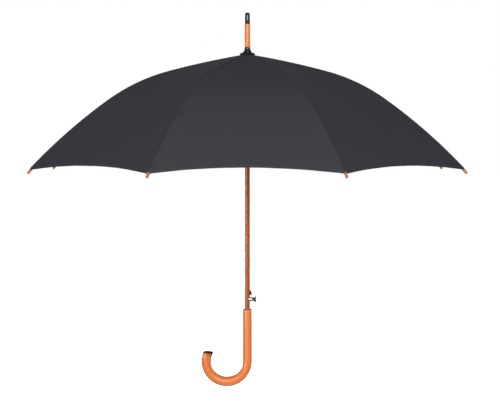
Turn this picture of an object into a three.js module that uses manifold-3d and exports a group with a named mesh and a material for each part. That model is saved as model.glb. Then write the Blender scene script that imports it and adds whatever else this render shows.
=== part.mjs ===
// A wooden stick umbrella with an automatic-opening button, drawn open, in millimetres with +Z up.
// The origin is on the shaft's axis at the middle of the grip. The crook bends towards -X, and the
// button is on the +X side. One gore of the canopy is centred on -Y.

import * as THREE from 'three';
import { mergeVertices } from 'three/addons/utils/BufferGeometryUtils.js';
import Module from 'manifold-3d';

const wasm = await Module();
wasm.setup();

// ---------------------------------------------------------------- driving dimensions

const GAP = 0.3; // clearance between pieces that touch
const DEGREE = Math.PI / 180;

const RIBS = 8;
const SECTOR = 360 / RIBS;
const FIRST_RIB_AZIMUTH = -90 + SECTOR / 2;

// The canopy's outer line over a rib: where it starts, then arcs whose slope (degrees below
// horizontal) runs from one value to the next over a length of cloth.
const CROWN = { r: 10, z: 657.4 };
const BOW = [
  { length: 190, from: 10, to: 15 },
  { length: 160, from: 15, to: 35 },
  { length: 233.5, from: 35, to: 45.6 },
];
const CANOPY = { thickness: 1, hemDip: 12.5, stations: 18, strips: 2 };

const RIB = { width: 2.4, depth: 2.2, under: 3.6, eye: 2, hole: 1.05, endPin: 9 };
const RIB_HINGE = { r: 10, z: 652.8 };
const JOINT_AT = 245; // along the rib, to the stretcher's pivot
const TIP = { radius: 3.25, length: 13.6, bore: 2, boreDepth: 10.3 };

const RUNNER_HINGE = { r: 11, z: 476 };
const RING_ARM = 95; // along the stretcher from the runner, and the strut's own length
const ARM = { width: 2.4, depth: 2.4, ear: 0.8, end: 2, hole: 1.05 };
const PIVOT = { radius: 0.9, hole: 1.25 };

const SHAFT = { radius: 6, bottom: 15, top: 674.4, tenon: 3.5, tenonTop: 694.7 };
const BORE = SHAFT.radius + 0.35; // in whatever slides on or sits round the shaft

const HANDLE = {
  radius: 10.55, endRadius: 11.35, top: 60.5, bendZ: -62.75, bendRadius: 48.6, sweep: 222, endZ: -41.6, socket: 6.3,
};
const CATCH = { pivotX: 1, pivotZ: 68, thickness: 2.4, slotHalf: 1.6, slotBack: -4.3, slot: [62.8, 113] };
const BUTTON = { z: 84, bushRadius: 4.7, bushFrom: 3.3, bushTo: 12.6, stem: 2, stemEnd: 3.1 };

// ---------------------------------------------------------------- finishes

const FINISH = {
  shaftWood: { color: 0xb36540, roughness: 0.42, metalness: 0 },
  handleWood: { color: 0xe28a52, roughness: 0.35, metalness: 0 },
  ferruleWood: { color: 0xeaa56a, roughness: 0.45, metalness: 0 },
  tipWood: { color: 0xc07850, roughness: 0.5, metalness: 0 },
  darkWood: { color: 0x3a2018, roughness: 0.6, metalness: 0 },
  fabric: { color: 0x3d3d44, roughness: 0.9, metalness: 0 },
  blackPlastic: { color: 0x16161a, roughness: 0.3, metalness: 0 },
  blackMetal: { color: 0x1d1d20, roughness: 0.45, metalness: 0.6 },
  chrome: { color: 0xd8dade, roughness: 0.15, metalness: 1 },
  springSteel: { color: 0x8d9096, roughness: 0.3, metalness: 0.9 },
};

// ---------------------------------------------------------------- shared shapes

/** A closed manifold-3d solid from a closed three.js geometry. */
function toSolid(geometry) {
  const bare = geometry.clone();
  bare.deleteAttribute('normal');
  bare.deleteAttribute('uv');
  const merged = mergeVertices(bare, 1e-4);
  const corners = merged.index.array;
  const triVerts = [];
  for (let i = 0; i < corners.length; i += 3) {
    const [a, b, c] = [corners[i], corners[i + 1], corners[i + 2]];
    if (a !== b && b !== c && c !== a) triVerts.push(a, b, c);
  }
  return new wasm.Manifold(new wasm.Mesh({
    numProp: 3,
    vertProperties: new Float32Array(merged.attributes.position.array),
    triVerts: new Uint32Array(triVerts),
  }));
}

/** A three.js geometry from a manifold-3d solid. */
function toGeometry(solid) {
  const { vertProperties, triVerts } = solid.getMesh();
  const geometry = new THREE.BufferGeometry();
  geometry.setAttribute('position', new THREE.BufferAttribute(vertProperties, 3));
  geometry.setIndex(new THREE.BufferAttribute(triVerts, 1));
  geometry.computeVertexNormals();
  return geometry;
}

/** The same closed geometry with its faces turned to look outwards. */
function facingOut(geometry) {
  const position = geometry.attributes.position;
  const index = geometry.index.array;
  const [a, b, c] = [new THREE.Vector3(), new THREE.Vector3(), new THREE.Vector3()];
  let volume = 0;
  for (let i = 0; i < index.length; i += 3) {
    a.fromBufferAttribute(position, index[i]);
    b.fromBufferAttribute(position, index[i + 1]);
    c.fromBufferAttribute(position, index[i + 2]);
    volume += a.dot(b.cross(c));
  }
  if (volume < 0) {
    for (let i = 0; i < index.length; i += 3) [index[i], index[i + 1]] = [index[i + 1], index[i]];
    geometry.computeVertexNormals();
  }
  return geometry;
}

/** A turned solid about +Z from [radius, z] points that start and end on the axis, or form a ring. */
function turned(profile, segments = 24) {
  const closed = profile[0][0] === 0 ? profile : [...profile, profile[0]];
  const points = closed.map(([r, z]) => new THREE.Vector2(r, z));
  return facingOut(new THREE.LatheGeometry(points, segments).rotateX(Math.PI / 2));
}

/** A flat plate with its outline in the XZ plane, centred on y, with round holes [x, z, radius]. */
function plate(outline, width, { holes = [], y = 0 } = {}) {
  const shape = new THREE.Shape(outline.map(([x, z]) => new THREE.Vector2(x, z)));
  for (const [x, z, radius] of holes) {
    shape.holes.push(new THREE.Path().absarc(x, z, radius, 0, 2 * Math.PI, true));
  }
  const options = { depth: width, bevelEnabled: false, curveSegments: 5 };
  return new THREE.ExtrudeGeometry(shape, options).translate(0, 0, -width / 2 - y).rotateX(Math.PI / 2);
}

/** The outline of a round disc in the XZ plane. */
function disc(x, z, radius, segments = 8) {
  return Array.from({ length: segments }, (_, i) => {
    const angle = 2 * Math.PI * i / segments;
    return [x + radius * Math.cos(angle), z + radius * Math.sin(angle)];
  });
}

/** A box between two corners. */
function block(low, high) {
  const size = high.map((value, i) => value - low[i]);
  return new THREE.BoxGeometry(...size).translate(...low.map((value, i) => value + size[i] / 2));
}

/** A round pin along Y through (x, z). */
function crossPin(x, z, radius, length, segments = 8) {
  return new THREE.CylinderGeometry(radius, radius, length, segments).translate(x, 0, z);
}

/** A round rod along X between two x positions. */
function rodX(z, radius, from, to, segments = 20) {
  return new THREE.CylinderGeometry(radius, radius, to - from, segments)
    .rotateZ(-Math.PI / 2)
    .translate((from + to) / 2, 0, z);
}

/** A coil spring round +Z from one height to another. */
function coil(radius, wire, from, to, turns, { steps = 8, sides = 6 } = {}) {
  class Helix extends THREE.Curve {
    getPoint(t, target = new THREE.Vector3()) {
      const angle = 2 * Math.PI * turns * t;
      return target.set(radius * Math.cos(angle), radius * Math.sin(angle), from + (to - from) * t);
    }
  }
  return sweep(new Helix(), wire, turns * steps, sides);
}

/** A round bar along a curve. */
function sweep(curve, radius, steps, sides) {
  const section = new THREE.Shape(disc(0, 0, radius, sides).map(([x, y]) => new THREE.Vector2(x, y)));
  return new THREE.ExtrudeGeometry(section, { steps, bevelEnabled: false, extrudePath: curve });
}

// ---------------------------------------------------------------- the canopy's line

/** Radius, height and slope of the canopy's outer line, s along the cloth and `under` beneath it. */
function bowPoint(s, under = 0) {
  let { r, z } = CROWN;
  let start = 0;
  let slope = BOW[0].from * DEGREE;
  BOW.forEach((arc, i) => {
    const last = i === BOW.length - 1;
    const along = Math.min(Math.max(s - start, 0), arc.length);
    const bend = (arc.to - arc.from) * DEGREE / arc.length;
    if (along > 0) {
      const begin = arc.from * DEGREE;
      slope = begin + bend * along;
      r += (Math.sin(slope) - Math.sin(begin)) / bend;
      z += (Math.cos(slope) - Math.cos(begin)) / bend;
    }
    start += arc.length;
    if (last && s > start) {
      r += (s - start) * Math.cos(slope);
      z -= (s - start) * Math.sin(slope);
    }
  });
  return { r: r - under * Math.sin(slope), z: z - under * Math.cos(slope), slope };
}

const RIB_LENGTH = BOW.reduce((sum, arc) => sum + arc.length, 0);

/** The stations along a rib between two lengths, shared by cloth and rib so that they stay parallel. */
function stations(from, to) {
  const all = Array.from({ length: CANOPY.stations + 1 }, (_, i) => RIB_LENGTH * i / CANOPY.stations);
  return [from, ...all.filter((s) => s > from + 1 && s < to - 1), to];
}

/**
 * Cloth over one rib, with the rib in the XZ plane: flat from rib to rib, so it folds over the rib.
 * `half(r)` is its half width as a share of the way to the middle of the gore, `ends(share)` its
 * start and end along the rib, and `outer` and `inner` its two faces, measured under the canopy's line.
 */
function clothOverRib(half, ends, outer, inner, strips) {
  const cosine = Math.cos(SECTOR / 2 * DEGREE);
  const sine = Math.sin(SECTOR / 2 * DEGREE);
  const rows = stations(0, RIB_LENGTH).map((s) => s / RIB_LENGTH);
  const columns = Array.from({ length: 2 * strips + 1 }, (_, i) => (i - strips) / strips);
  const positions = [];
  for (const under of [outer, inner]) {
    for (const row of rows) {
      for (const column of columns) {
        const [start, end] = ends(Math.abs(column));
        const point = bowPoint(start + (end - start) * row, under);
        const share = column * half(point.r);
        const chord = Math.abs(share) * point.r * sine;
        positions.push(point.r - chord * sine, Math.sign(share) * chord * cosine, point.z);
      }
    }
  }
  const wide = columns.length;
  const long = rows.length;
  const at = (side, row, column) => (side * long + row) * wide + column;
  const faces = [];
  const quad = (a, b, c, d) => faces.push(a, b, c, a, c, d);
  for (let i = 0; i < long - 1; i += 1) {
    for (let j = 0; j < wide - 1; j += 1) {
      quad(at(0, i, j), at(0, i + 1, j), at(0, i + 1, j + 1), at(0, i, j + 1));
      quad(at(1, i, j), at(1, i, j + 1), at(1, i + 1, j + 1), at(1, i + 1, j));
    }
    quad(at(0, i, 0), at(1, i, 0), at(1, i + 1, 0), at(0, i + 1, 0));
    quad(at(0, i, wide - 1), at(0, i + 1, wide - 1), at(1, i + 1, wide - 1), at(1, i, wide - 1));
  }
  for (let j = 0; j < wide - 1; j += 1) {
    quad(at(0, 0, j), at(0, 0, j + 1), at(1, 0, j + 1), at(1, 0, j));
    quad(at(0, long - 1, j), at(1, long - 1, j), at(1, long - 1, j + 1), at(0, long - 1, j + 1));
  }
  const geometry = new THREE.BufferGeometry();
  geometry.setAttribute('position', new THREE.Float32BufferAttribute(positions, 3));
  geometry.setIndex(faces);
  geometry.computeVertexNormals();
  return facingOut(geometry);
}

/** One eighth of the canopy: the cloth over a rib, out to the middle of the gore on each side. */
function canopyPanel() {
  const sine = Math.sin(SECTOR / 2 * DEGREE);
  const half = (r) => 1 - 0.55 * GAP / (r * sine);
  const ends = (share) => [0, RIB_LENGTH - CANOPY.hemDip * (2 * share - share * share)];
  return clothOverRib(half, ends, 0, CANOPY.thickness, CANOPY.strips);
}

/** The wrapping strap, lying on the cloth along a seam with its free end towards the crown. */
function tieStrap() {
  const halfWidth = 9;
  const sine = Math.sin(SECTOR / 2 * DEGREE);
  return clothOverRib((r) => halfWidth / (r * sine), () => [STRAP.from, STRAP.to], -GAP - STRAP.thickness, -GAP, 1);
}

const STRAP = { from: 415, to: 572, thickness: 1.2, snapAt: 425, snapRadius: 6 };

/** The press stud at the strap's free end. */
function strapSnap() {
  const { r, z, slope } = bowPoint(STRAP.snapAt, -2 * GAP - STRAP.thickness);
  const stud = turned([[0, 0], [STRAP.snapRadius, 0], [STRAP.snapRadius, 1.2], [4.5, 2.4], [0, 2.4]], 16);
  return stud.rotateY(slope).translate(r, 0, z);
}

// ---------------------------------------------------------------- ribs, stretchers and struts

/** The stretcher's pivot on the rib. */
function ribPivot() {
  return bowPoint(JOINT_AT, RIB.under);
}

/** A rib under the cloth: an eye at the top notch, the stretcher's pivot pin, and a pin in the tip. */
function rib() {
  const along = stations(0, RIB_LENGTH + RIB.endPin);
  const edge = (under) => along.map((s) => bowPoint(s, under)).map(({ r, z }) => [r, z]);
  const top = edge(RIB.under - RIB.depth / 2);
  const bottom = edge(RIB.under + RIB.depth / 2).reverse();
  const pivot = ribPivot();
  const bar = toSolid(plate([...top, ...bottom], RIB.width))
    .add(toSolid(plate(disc(RIB_HINGE.r, RIB_HINGE.z, RIB.eye), RIB.width)))
    .add(toSolid(crossPin(pivot.r, pivot.z, PIVOT.radius, RIB.width + 2 * (GAP + ARM.ear + 0.4))))
    .subtract(toSolid(crossPin(RIB_HINGE.r, RIB_HINGE.z, RIB.hole, 3 * RIB.width)));
  return toGeometry(bar);
}

/** The turned wooden tip that the rib's end sits in. */
function ribTip() {
  const { r, z, slope } = bowPoint(RIB_LENGTH + GAP, RIB.under);
  const profile = [
    [0, TIP.boreDepth], [TIP.bore, TIP.boreDepth], [TIP.bore, 0], [TIP.radius, 0],
    [TIP.radius, TIP.length - 1], [TIP.radius - 0.7, TIP.length], [0, TIP.length],
  ];
  return turned(profile, 14).rotateY(Math.PI / 2 + slope).translate(r, 0, z);
}

/**
 * A flat arm between two pivots in the XZ plane: a round end at `from`, a fork at `to` whose ears
 * straddle a bar `RIB.width` or `ARM.width` wide, and a pin of its own at `pinAt` along it.
 */
function arm(from, to, pinAt) {
  const length = Math.hypot(to[0] - from[0], to[1] - from[1]);
  const angle = Math.atan2(to[1] - from[1], to[0] - from[0]);
  const h = ARM.depth / 2;
  const throat = 11;
  const earY = RIB.width / 2 + GAP + ARM.ear / 2;
  const bar = [[0, -h], [length - throat, -h], [length - throat, h], [0, h]];
  const ear = [[length - throat - 5, -h], [length, -h], [length + h, 0], [length, h], [length - throat - 5, h]];
  let solid = toSolid(plate(bar, ARM.width))
    .add(toSolid(plate(disc(0, 0, ARM.end), ARM.width)))
    .add(toSolid(block([length - throat - 5, -earY - ARM.ear / 2, -h], [length - throat, earY + ARM.ear / 2, h])))
    .subtract(toSolid(crossPin(0, 0, ARM.hole, 3 * ARM.width)));
  for (const side of [-1, 1]) {
    const eye = toSolid(plate(disc(length, 0, ARM.end), ARM.ear, { y: side * earY }));
    solid = solid.add(toSolid(plate(ear, ARM.ear, { y: side * earY }))).add(eye);
  }
  solid = solid.subtract(toSolid(crossPin(length, 0, PIVOT.hole, 3 * ARM.width)));
  if (pinAt) solid = solid.add(toSolid(crossPin(pinAt, 0, PIVOT.radius, ARM.width + 2 * (GAP + ARM.ear + 0.4))));
  return toGeometry(solid).rotateY(-angle).translate(from[0], 0, from[1]);
}

/** The pivot between stretcher and strut, and the strut's end on the spring ring. */
function strutEnds() {
  const pivot = ribPivot();
  const length = Math.hypot(pivot.r - RUNNER_HINGE.r, pivot.z - RUNNER_HINGE.z);
  const share = RING_ARM / length;
  const onStretcher = [
    RUNNER_HINGE.r + (pivot.r - RUNNER_HINGE.r) * share,
    RUNNER_HINGE.z + (pivot.z - RUNNER_HINGE.z) * share,
  ];
  const rise = Math.sqrt(RING_ARM ** 2 - (onStretcher[0] - RUNNER_HINGE.r) ** 2);
  return { onStretcher, onRing: [RUNNER_HINGE.r, onStretcher[1] + rise] };
}

function stretcher() {
  const pivot = ribPivot();
  return arm([RUNNER_HINGE.r, RUNNER_HINGE.z], [pivot.r, pivot.z], RING_ARM);
}

function strut() {
  const { onRing, onStretcher } = strutEnds();
  return arm(onRing, onStretcher, 0);
}

// ---------------------------------------------------------------- hubs on the shaft

/** A hub turned from a profile, with a radial slot for each rib, cut in from `slotFrom`. */
function slottedHub(profile, slotFrom, low, high) {
  let hub = toSolid(turned(profile, 32));
  for (let i = 0; i < RIBS; i += 1) {
    const slot = block([slotFrom, -RIB.width / 2 - 0.4, low], [20, RIB.width / 2 + 0.4, high]);
    hub = hub.subtract(toSolid(slot.rotateZ((FIRST_RIB_AZIMUTH + i * SECTOR) * DEGREE)));
  }
  return hub;
}

/** A ring of wire about +Z. */
function wireRing(radius, wire, z, sides = 6) {
  return new THREE.TorusGeometry(radius, wire, sides, 32).translate(0, 0, z);
}

function topNotch() {
  const { r, z } = RIB_HINGE;
  const profile = [[BORE, z - 4.3], [13, z - 4.3], [13.5, z - 3.5], [13.5, z + 1.6], [12.6, z + 2.2], [BORE, z + 2.4]];
  const hub = slottedHub(profile, r - RIB.eye - 0.4, z - 6, z + 4);
  return toGeometry(hub.subtract(toSolid(wireRing(r, 1.05, z, 8))));
}

/** The runner: a slotted hub over a long sleeve, with a slot at its foot that clears the catch. */
function runner() {
  const { r, z } = RUNNER_HINGE;
  const sleeve = { radius: 7.75, bottom: z - 69.3, catchSlot: 23 };
  const profile = [
    [BORE, sleeve.bottom], [sleeve.radius, sleeve.bottom], [sleeve.radius, z - 6.5], [13, z - 4.6],
    [13.5, z - 3.8], [13.5, z + 3.4], [12.6, z + 4.2], [BORE, z + 4.8],
  ];
  const hub = slottedHub(profile, r - ARM.end - 0.4, z - 8, z + 6);
  const foot = block([0, -2.2, sleeve.bottom - 1], [12, 2.2, sleeve.bottom + sleeve.catchSlot]);
  return toGeometry(hub.subtract(toSolid(foot)));
}

/** The small slotted ring that the struts carry above the runner, where the opening spring ends. */
function springRing() {
  const [r, z] = strutEnds().onRing;
  const profile = [[BORE, z - 4], [12.4, z - 4], [13, z - 3.4], [13, z + 3.2], [12.2, z + 3.9], [BORE, z + 3.9]];
  return toGeometry(slottedHub(profile, r - ARM.end - 0.4, z - 6, z + 6));
}

function openingSpring() {
  const wire = 0.55;
  const ringZ = strutEnds().onRing[1];
  return coil(7.75, wire, RUNNER_HINGE.z + 4.8 + GAP + wire, ringZ - 4 - GAP - wire, 10, { steps: 7 });
}

// ---------------------------------------------------------------- shaft and crown

function shaft() {
  const { radius, bottom, top, tenon, tenonTop } = SHAFT;
  const rod = toSolid(turned([[0, bottom], [radius, bottom], [radius, top], [tenon, top], [tenon, tenonTop], [0, tenonTop]]));
  const [low, high] = CATCH.slot;
  const slot = block([CATCH.slotBack, -CATCH.slotHalf, low], [radius + 2, CATCH.slotHalf, high]);
  return toGeometry(rod
    .subtract(toSolid(slot))
    .subtract(toSolid(rodX(BUTTON.z, BUTTON.bushRadius + GAP, BUTTON.bushFrom - GAP, radius + 2)))
    .subtract(toSolid(rodX(BUTTON.z, BUTTON.stem + 2 * GAP, 0, BUTTON.bushFrom)))
    .subtract(toSolid(crossPin(CATCH.pivotX, CATCH.pivotZ, 1.3, 3 * radius))));
}

function topSpike() {
  return turned([
    [0, 695], [SHAFT.tenon + GAP, 695], [SHAFT.tenon + GAP, 674.7], [7.15, 674.7], [7, 729.2],
    [3.2, 729.2], [3.2, 743.6], [0, 743.6],
  ]);
}

function spikeCap() {
  return turned([
    [0, 743.9], [3.5, 743.9], [3.5, 729.5], [6.45, 729.5], [6.4, 747.6], [6.1, 751.1], [5.3, 753.6],
    [4.1, 755.1], [2.4, 755.6], [0, 755.6],
  ]);
}

function crownCap() {
  return turned([
    [BORE, 662.7], [10.6, 662.7], [9.2, 665], [8.1, 668], [7.6, 670.2], [7.4, 673.9], [7.2, 674.4], [BORE, 674.4],
  ]);
}

function crownRosette() {
  return turned([
    [BORE, 657.9], [16.6, 656.55], [17.3, 657.5], [17.3, 660.6], [16.6, 661.4], [10.5, 662.4], [BORE, 662.4],
  ]);
}

// ---------------------------------------------------------------- handle

/** The handle's bar: straight down, then round the bend, where it grows a little thicker. */
function crookBar(steps, sides) {
  const straight = HANDLE.top - HANDLE.bendZ;
  const total = straight + HANDLE.bendRadius * HANDLE.sweep * DEGREE;
  const points = [];
  for (let i = 0; i <= steps; i += 1) {
    const along = i * total / steps;
    const angle = Math.max(along - straight, 0) / HANDLE.bendRadius;
    const growth = Math.min(angle / (90 * DEGREE), 1);
    const radius = HANDLE.radius + (HANDLE.endRadius - HANDLE.radius) * growth;
    const [out, down] = [Math.cos(angle), Math.sin(angle)];
    for (const [u, v] of disc(0, 0, radius, sides)) {
      const reach = HANDLE.bendRadius + u;
      const z = Math.max(HANDLE.top - along, HANDLE.bendZ) - reach * down;
      points.push(reach * out - HANDLE.bendRadius, v, z);
    }
  }
  const faces = [];
  for (let k = 1; k < sides - 1; k += 1) {
    const last = steps * sides;
    faces.push(0, k + 1, k, last, last + k, last + k + 1);
  }
  for (let i = 0; i < steps; i += 1) {
    for (let k = 0; k < sides; k += 1) {
      const [a, b] = [i * sides + k, i * sides + (k + 1) % sides];
      faces.push(a, b, a + sides, b, b + sides, a + sides);
    }
  }
  const bar = new THREE.BufferGeometry();
  bar.setAttribute('position', new THREE.Float32BufferAttribute(points, 3));
  bar.setIndex(faces);
  return toSolid(facingOut(bar));
}

/** A slice of space over the crook's level end, between two heights. */
function overCrookEnd(low, high) {
  return toSolid(block([-130, -20, low], [-60, 20, high]));
}

function crookHandle() {
  const socket = turned([[0, SHAFT.bottom - GAP], [HANDLE.socket, SHAFT.bottom - GAP], [HANDLE.socket, 70], [0, 70]]);
  return toGeometry(crookBar(44, 20).subtract(overCrookEnd(HANDLE.endZ, 0)).subtract(toSolid(socket)));
}

/** The dark plug that finishes the crook, narrower at its top. */
function crookEndCap() {
  const [middle, base] = [-91.4, HANDLE.endZ + GAP];
  const foot = crookBar(44, 20).intersect(overCrookEnd(base, base + 0.6));
  const top = foot.translate([-middle, 0, 0]).scale([0.76, 0.76, 1]).translate([middle, 0, 2]);
  return toGeometry(wasm.Manifold.hull([foot, top]));
}

// ---------------------------------------------------------------- catch and button

/** The flat steel catch in the shaft's slot, with the hump that stops the runner. */
function catchLever() {
  const outline = [
    [-0.8, 64.6], [2.8, 64.6], [2.8, 89.6], [5, 93], [7, 93.8], [9.4, 95.2], [10.3, 97], [10.1, 98.6],
    [8.9, 101.6], [7.4, 104.6], [5.8, 107.4], [5.3, 111.4], [2.6, 111.4], [2.6, 97], [-0.4, 89.6],
  ];
  return plate(outline, CATCH.thickness, { holes: [[CATCH.pivotX, CATCH.pivotZ, 1.3]] });
}

function catchPin() {
  return crossPin(CATCH.pivotX, CATCH.pivotZ, 1, 11.2);
}

/** Turns a profile about +Z into one about +X at the button's height. */
function onButtonAxis(geometry) {
  return geometry.rotateY(Math.PI / 2).translate(0, 0, BUTTON.z);
}

function buttonBush() {
  const { bushRadius, bushFrom, bushTo, stem } = BUTTON;
  return onButtonAxis(turned([
    [stem + GAP, bushFrom], [bushRadius, bushFrom], [bushRadius, bushTo], [4.1, bushTo], [4.1, 6.5], [stem + GAP, 6.5],
  ], 20));
}

function releaseButton() {
  const { stem, stemEnd } = BUTTON;
  return onButtonAxis(turned([
    [0, stemEnd], [stem, stemEnd], [stem, 15.8], [4.2, 15.8], [4.6, 16.8], [5.4, 17.8], [6.5, 18.5],
    [6.5, 20], [6.1, 20.3], [0, 20.3],
  ], 20));
}

function buttonSpring() {
  const wire = 0.4;
  return onButtonAxis(coil(3.05, wire, 6.5 + GAP + wire, 15.8 - GAP - wire, 5, { sides: 5 }));
}

// ---------------------------------------------------------------- the object

const umbrella = new THREE.Group();

/** Adds a named mesh with a material of its own to a group. */
function add(group, name, geometry, finish) {
  const mesh = new THREE.Mesh(geometry, new THREE.MeshStandardMaterial(finish));
  mesh.name = name;
  group.add(mesh);
}

add(umbrella, 'shaft', shaft(), FINISH.shaftWood);
add(umbrella, 'crook_handle', crookHandle(), FINISH.handleWood);
add(umbrella, 'crook_end_cap', crookEndCap(), FINISH.darkWood);
add(umbrella, 'top_spike', topSpike(), FINISH.ferruleWood);
add(umbrella, 'spike_cap', spikeCap(), FINISH.blackPlastic);
add(umbrella, 'crown_cap', crownCap(), FINISH.blackPlastic);
add(umbrella, 'crown_rosette', crownRosette(), FINISH.fabric);
add(umbrella, 'top_notch', topNotch(), FINISH.blackPlastic);
add(umbrella, 'top_notch_wire', wireRing(RIB_HINGE.r, 0.7, RIB_HINGE.z), FINISH.springSteel);
add(umbrella, 'runner', runner(), FINISH.blackPlastic);
add(umbrella, 'spring_ring', springRing(), FINISH.blackPlastic);
add(umbrella, 'opening_spring', openingSpring(), FINISH.springSteel);
add(umbrella, 'catch_lever', catchLever(), FINISH.blackMetal);
add(umbrella, 'catch_pin', catchPin(), FINISH.springSteel);
add(umbrella, 'button_bush', buttonBush(), FINISH.chrome);
add(umbrella, 'release_button', releaseButton(), FINISH.blackPlastic);
add(umbrella, 'button_spring', buttonSpring(), FINISH.springSteel);

const STRAP_RIB = 4;
for (let i = 1; i <= RIBS; i += 1) {
  const sector = new THREE.Group();
  sector.rotation.z = (FIRST_RIB_AZIMUTH + (i - 1) * SECTOR) * DEGREE;
  umbrella.add(sector);
  add(sector, `canopy_panel_${i}`, canopyPanel(), FINISH.fabric);
  add(sector, `rib_${i}`, rib(), FINISH.blackMetal);
  add(sector, `rib_tip_${i}`, ribTip(), FINISH.tipWood);
  add(sector, `stretcher_${i}`, stretcher(), FINISH.blackMetal);
  add(sector, `strut_${i}`, strut(), FINISH.blackMetal);
  if (i === STRAP_RIB) {
    add(sector, 'tie_strap', tieStrap(), FINISH.fabric);
    add(sector, 'strap_snap', strapSnap(), FINISH.blackPlastic);
  }
}

export default umbrella;
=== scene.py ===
"""The looks of a wooden stick umbrella with a push-button opener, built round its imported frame.

Lengths are in metres in the frame's own axes: +Z runs up the shaft, the crook bends towards -X and
the button is on the +X side. Whatever repeats round the canopy is made once with its rib in the XZ
plane, and is then turned to each rib's azimuth.
"""

from __future__ import annotations

import logging
import math
from collections.abc import Sequence
from dataclasses import dataclass
from enum import Enum

import bmesh
import bpy
from mathutils import Matrix, Vector, noise


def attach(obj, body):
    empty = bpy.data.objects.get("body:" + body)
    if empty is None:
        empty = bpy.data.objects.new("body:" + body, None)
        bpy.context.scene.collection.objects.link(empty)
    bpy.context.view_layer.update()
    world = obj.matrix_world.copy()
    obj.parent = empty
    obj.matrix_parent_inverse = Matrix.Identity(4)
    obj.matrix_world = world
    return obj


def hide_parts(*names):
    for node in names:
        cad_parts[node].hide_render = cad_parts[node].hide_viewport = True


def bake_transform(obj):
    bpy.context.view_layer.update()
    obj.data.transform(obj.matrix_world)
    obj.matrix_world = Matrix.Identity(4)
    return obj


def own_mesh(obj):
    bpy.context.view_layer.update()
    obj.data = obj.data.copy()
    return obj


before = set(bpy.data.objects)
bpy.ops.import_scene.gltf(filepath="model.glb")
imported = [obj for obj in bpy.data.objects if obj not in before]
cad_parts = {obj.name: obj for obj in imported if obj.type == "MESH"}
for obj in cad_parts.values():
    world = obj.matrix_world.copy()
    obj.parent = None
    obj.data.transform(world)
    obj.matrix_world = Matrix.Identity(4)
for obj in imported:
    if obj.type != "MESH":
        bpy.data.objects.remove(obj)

LOG = logging.getLogger("umbrella")
MM = 0.001
RIBS = 8
SECTOR = 2 * math.pi / RIBS
HALF_SECTOR = SECTOR / 2
Point2 = tuple[float, float]
Point3 = tuple[float, float, float]
Colour = tuple[float, float, float]


def srgb(red: int, green: int, blue: int) -> Colour:
    """Turns a colour on the usual 0 to 255 scale into linear light."""
    def linear(level: int) -> float:
        """One channel in linear light."""
        share = level / 255
        return share / 12.92 if share <= 0.04045 else ((share + 0.055) / 1.055) ** 2.4
    return linear(red), linear(green), linear(blue)


def azimuth(rib: int) -> float:
    """The direction of a rib, counted from 1, in radians from +X."""
    return -math.pi / 2 + HALF_SECTOR + (rib - 1) * SECTOR


# ---------------------------------------------------------------- shader graphs


class Graph:
    """A node tree with short ways to add and join nodes."""

    def __init__(self, tree: bpy.types.NodeTree) -> None:
        """Starts from an empty tree."""
        self.tree = tree
        tree.nodes.clear()

    def node(self, kind: str, inputs: dict | None = None, **settings: object) -> bpy.types.Node:
        """Adds a node.

        Args:
            kind: the node's type, without the ShaderNode prefix.
            inputs: values or output sockets for its input sockets, by name or number.
            settings: the node's own properties.

        Returns:
            The new node.
        """
        made = self.tree.nodes.new(kind if kind.startswith("Node") else "ShaderNode" + kind)
        for name, value in settings.items():
            setattr(made, name, value)
        for key, value in (inputs or {}).items():
            self.feed(made.inputs[key], value)
        return made

    def feed(self, socket: bpy.types.NodeSocket, value: object) -> None:
        """Links an output to a socket, or sets the socket's own value."""
        if isinstance(value, bpy.types.NodeSocket):
            self.tree.links.new(value, socket)
        elif isinstance(value, tuple) and len(value) == 3 and socket.type == "RGBA":
            socket.default_value = (*value, 1)
        else:
            socket.default_value = value

    def maths(self, operation: str, *values: object) -> bpy.types.NodeSocket:
        """One Math node on up to three values."""
        return self.node("Math", dict(enumerate(values)), operation=operation).outputs[0]

    def mix(self, factor: object, low: object, high: object) -> bpy.types.NodeSocket:
        """A colour mix from low to high."""
        made = self.node("Mix", {0: factor, 6: low, 7: high}, data_type="RGBA")
        return made.outputs[2]

    def ramp(self, value: object, low: float, high: float) -> bpy.types.NodeSocket:
        """Stretches the span from low to high over 0 to 1, clamped and smooth."""
        made = self.node("MapRange", {0: value, 1: low, 2: high}, interpolation_type="SMOOTHSTEP")
        return made.outputs[0]

    def scaled(self, vector: object, scale: tuple[float, float, float]) -> bpy.types.NodeSocket:
        """A vector with each part multiplied."""
        made = self.node("VectorMath", {0: vector, 1: scale}, operation="MULTIPLY")
        return made.outputs[0]


class EffectGroup:
    """A shader node group that several finishes share."""

    def __init__(self, name: str, inputs: dict[str, str], outputs: dict[str, str]) -> None:
        """Makes the group's sockets.

        Args:
            name: the group's name.
            inputs: socket types by input name.
            outputs: socket types by output name.
        """
        self.tree = bpy.data.node_groups.new(name, "ShaderNodeTree")
        for socket, kind in inputs.items():
            self.tree.interface.new_socket(socket, in_out="INPUT", socket_type=kind)
        for socket, kind in outputs.items():
            self.tree.interface.new_socket(socket, in_out="OUTPUT", socket_type=kind)
        self.graph = Graph(self.tree)
        self.entry = self.graph.node("NodeGroupInput").outputs
        self.exit = self.graph.node("NodeGroupOutput").inputs

    def place(self, graph: Graph, inputs: dict) -> bpy.types.NodeSocket:
        """Puts the group in a material's graph and returns its outputs."""
        made = graph.tree.nodes.new("ShaderNodeGroup")
        made.node_tree = self.tree
        for key, value in inputs.items():
            graph.feed(made.inputs[key], value)
        return made.outputs


VECTOR, FLOAT = "NodeSocketVector", "NodeSocketFloat"


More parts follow.
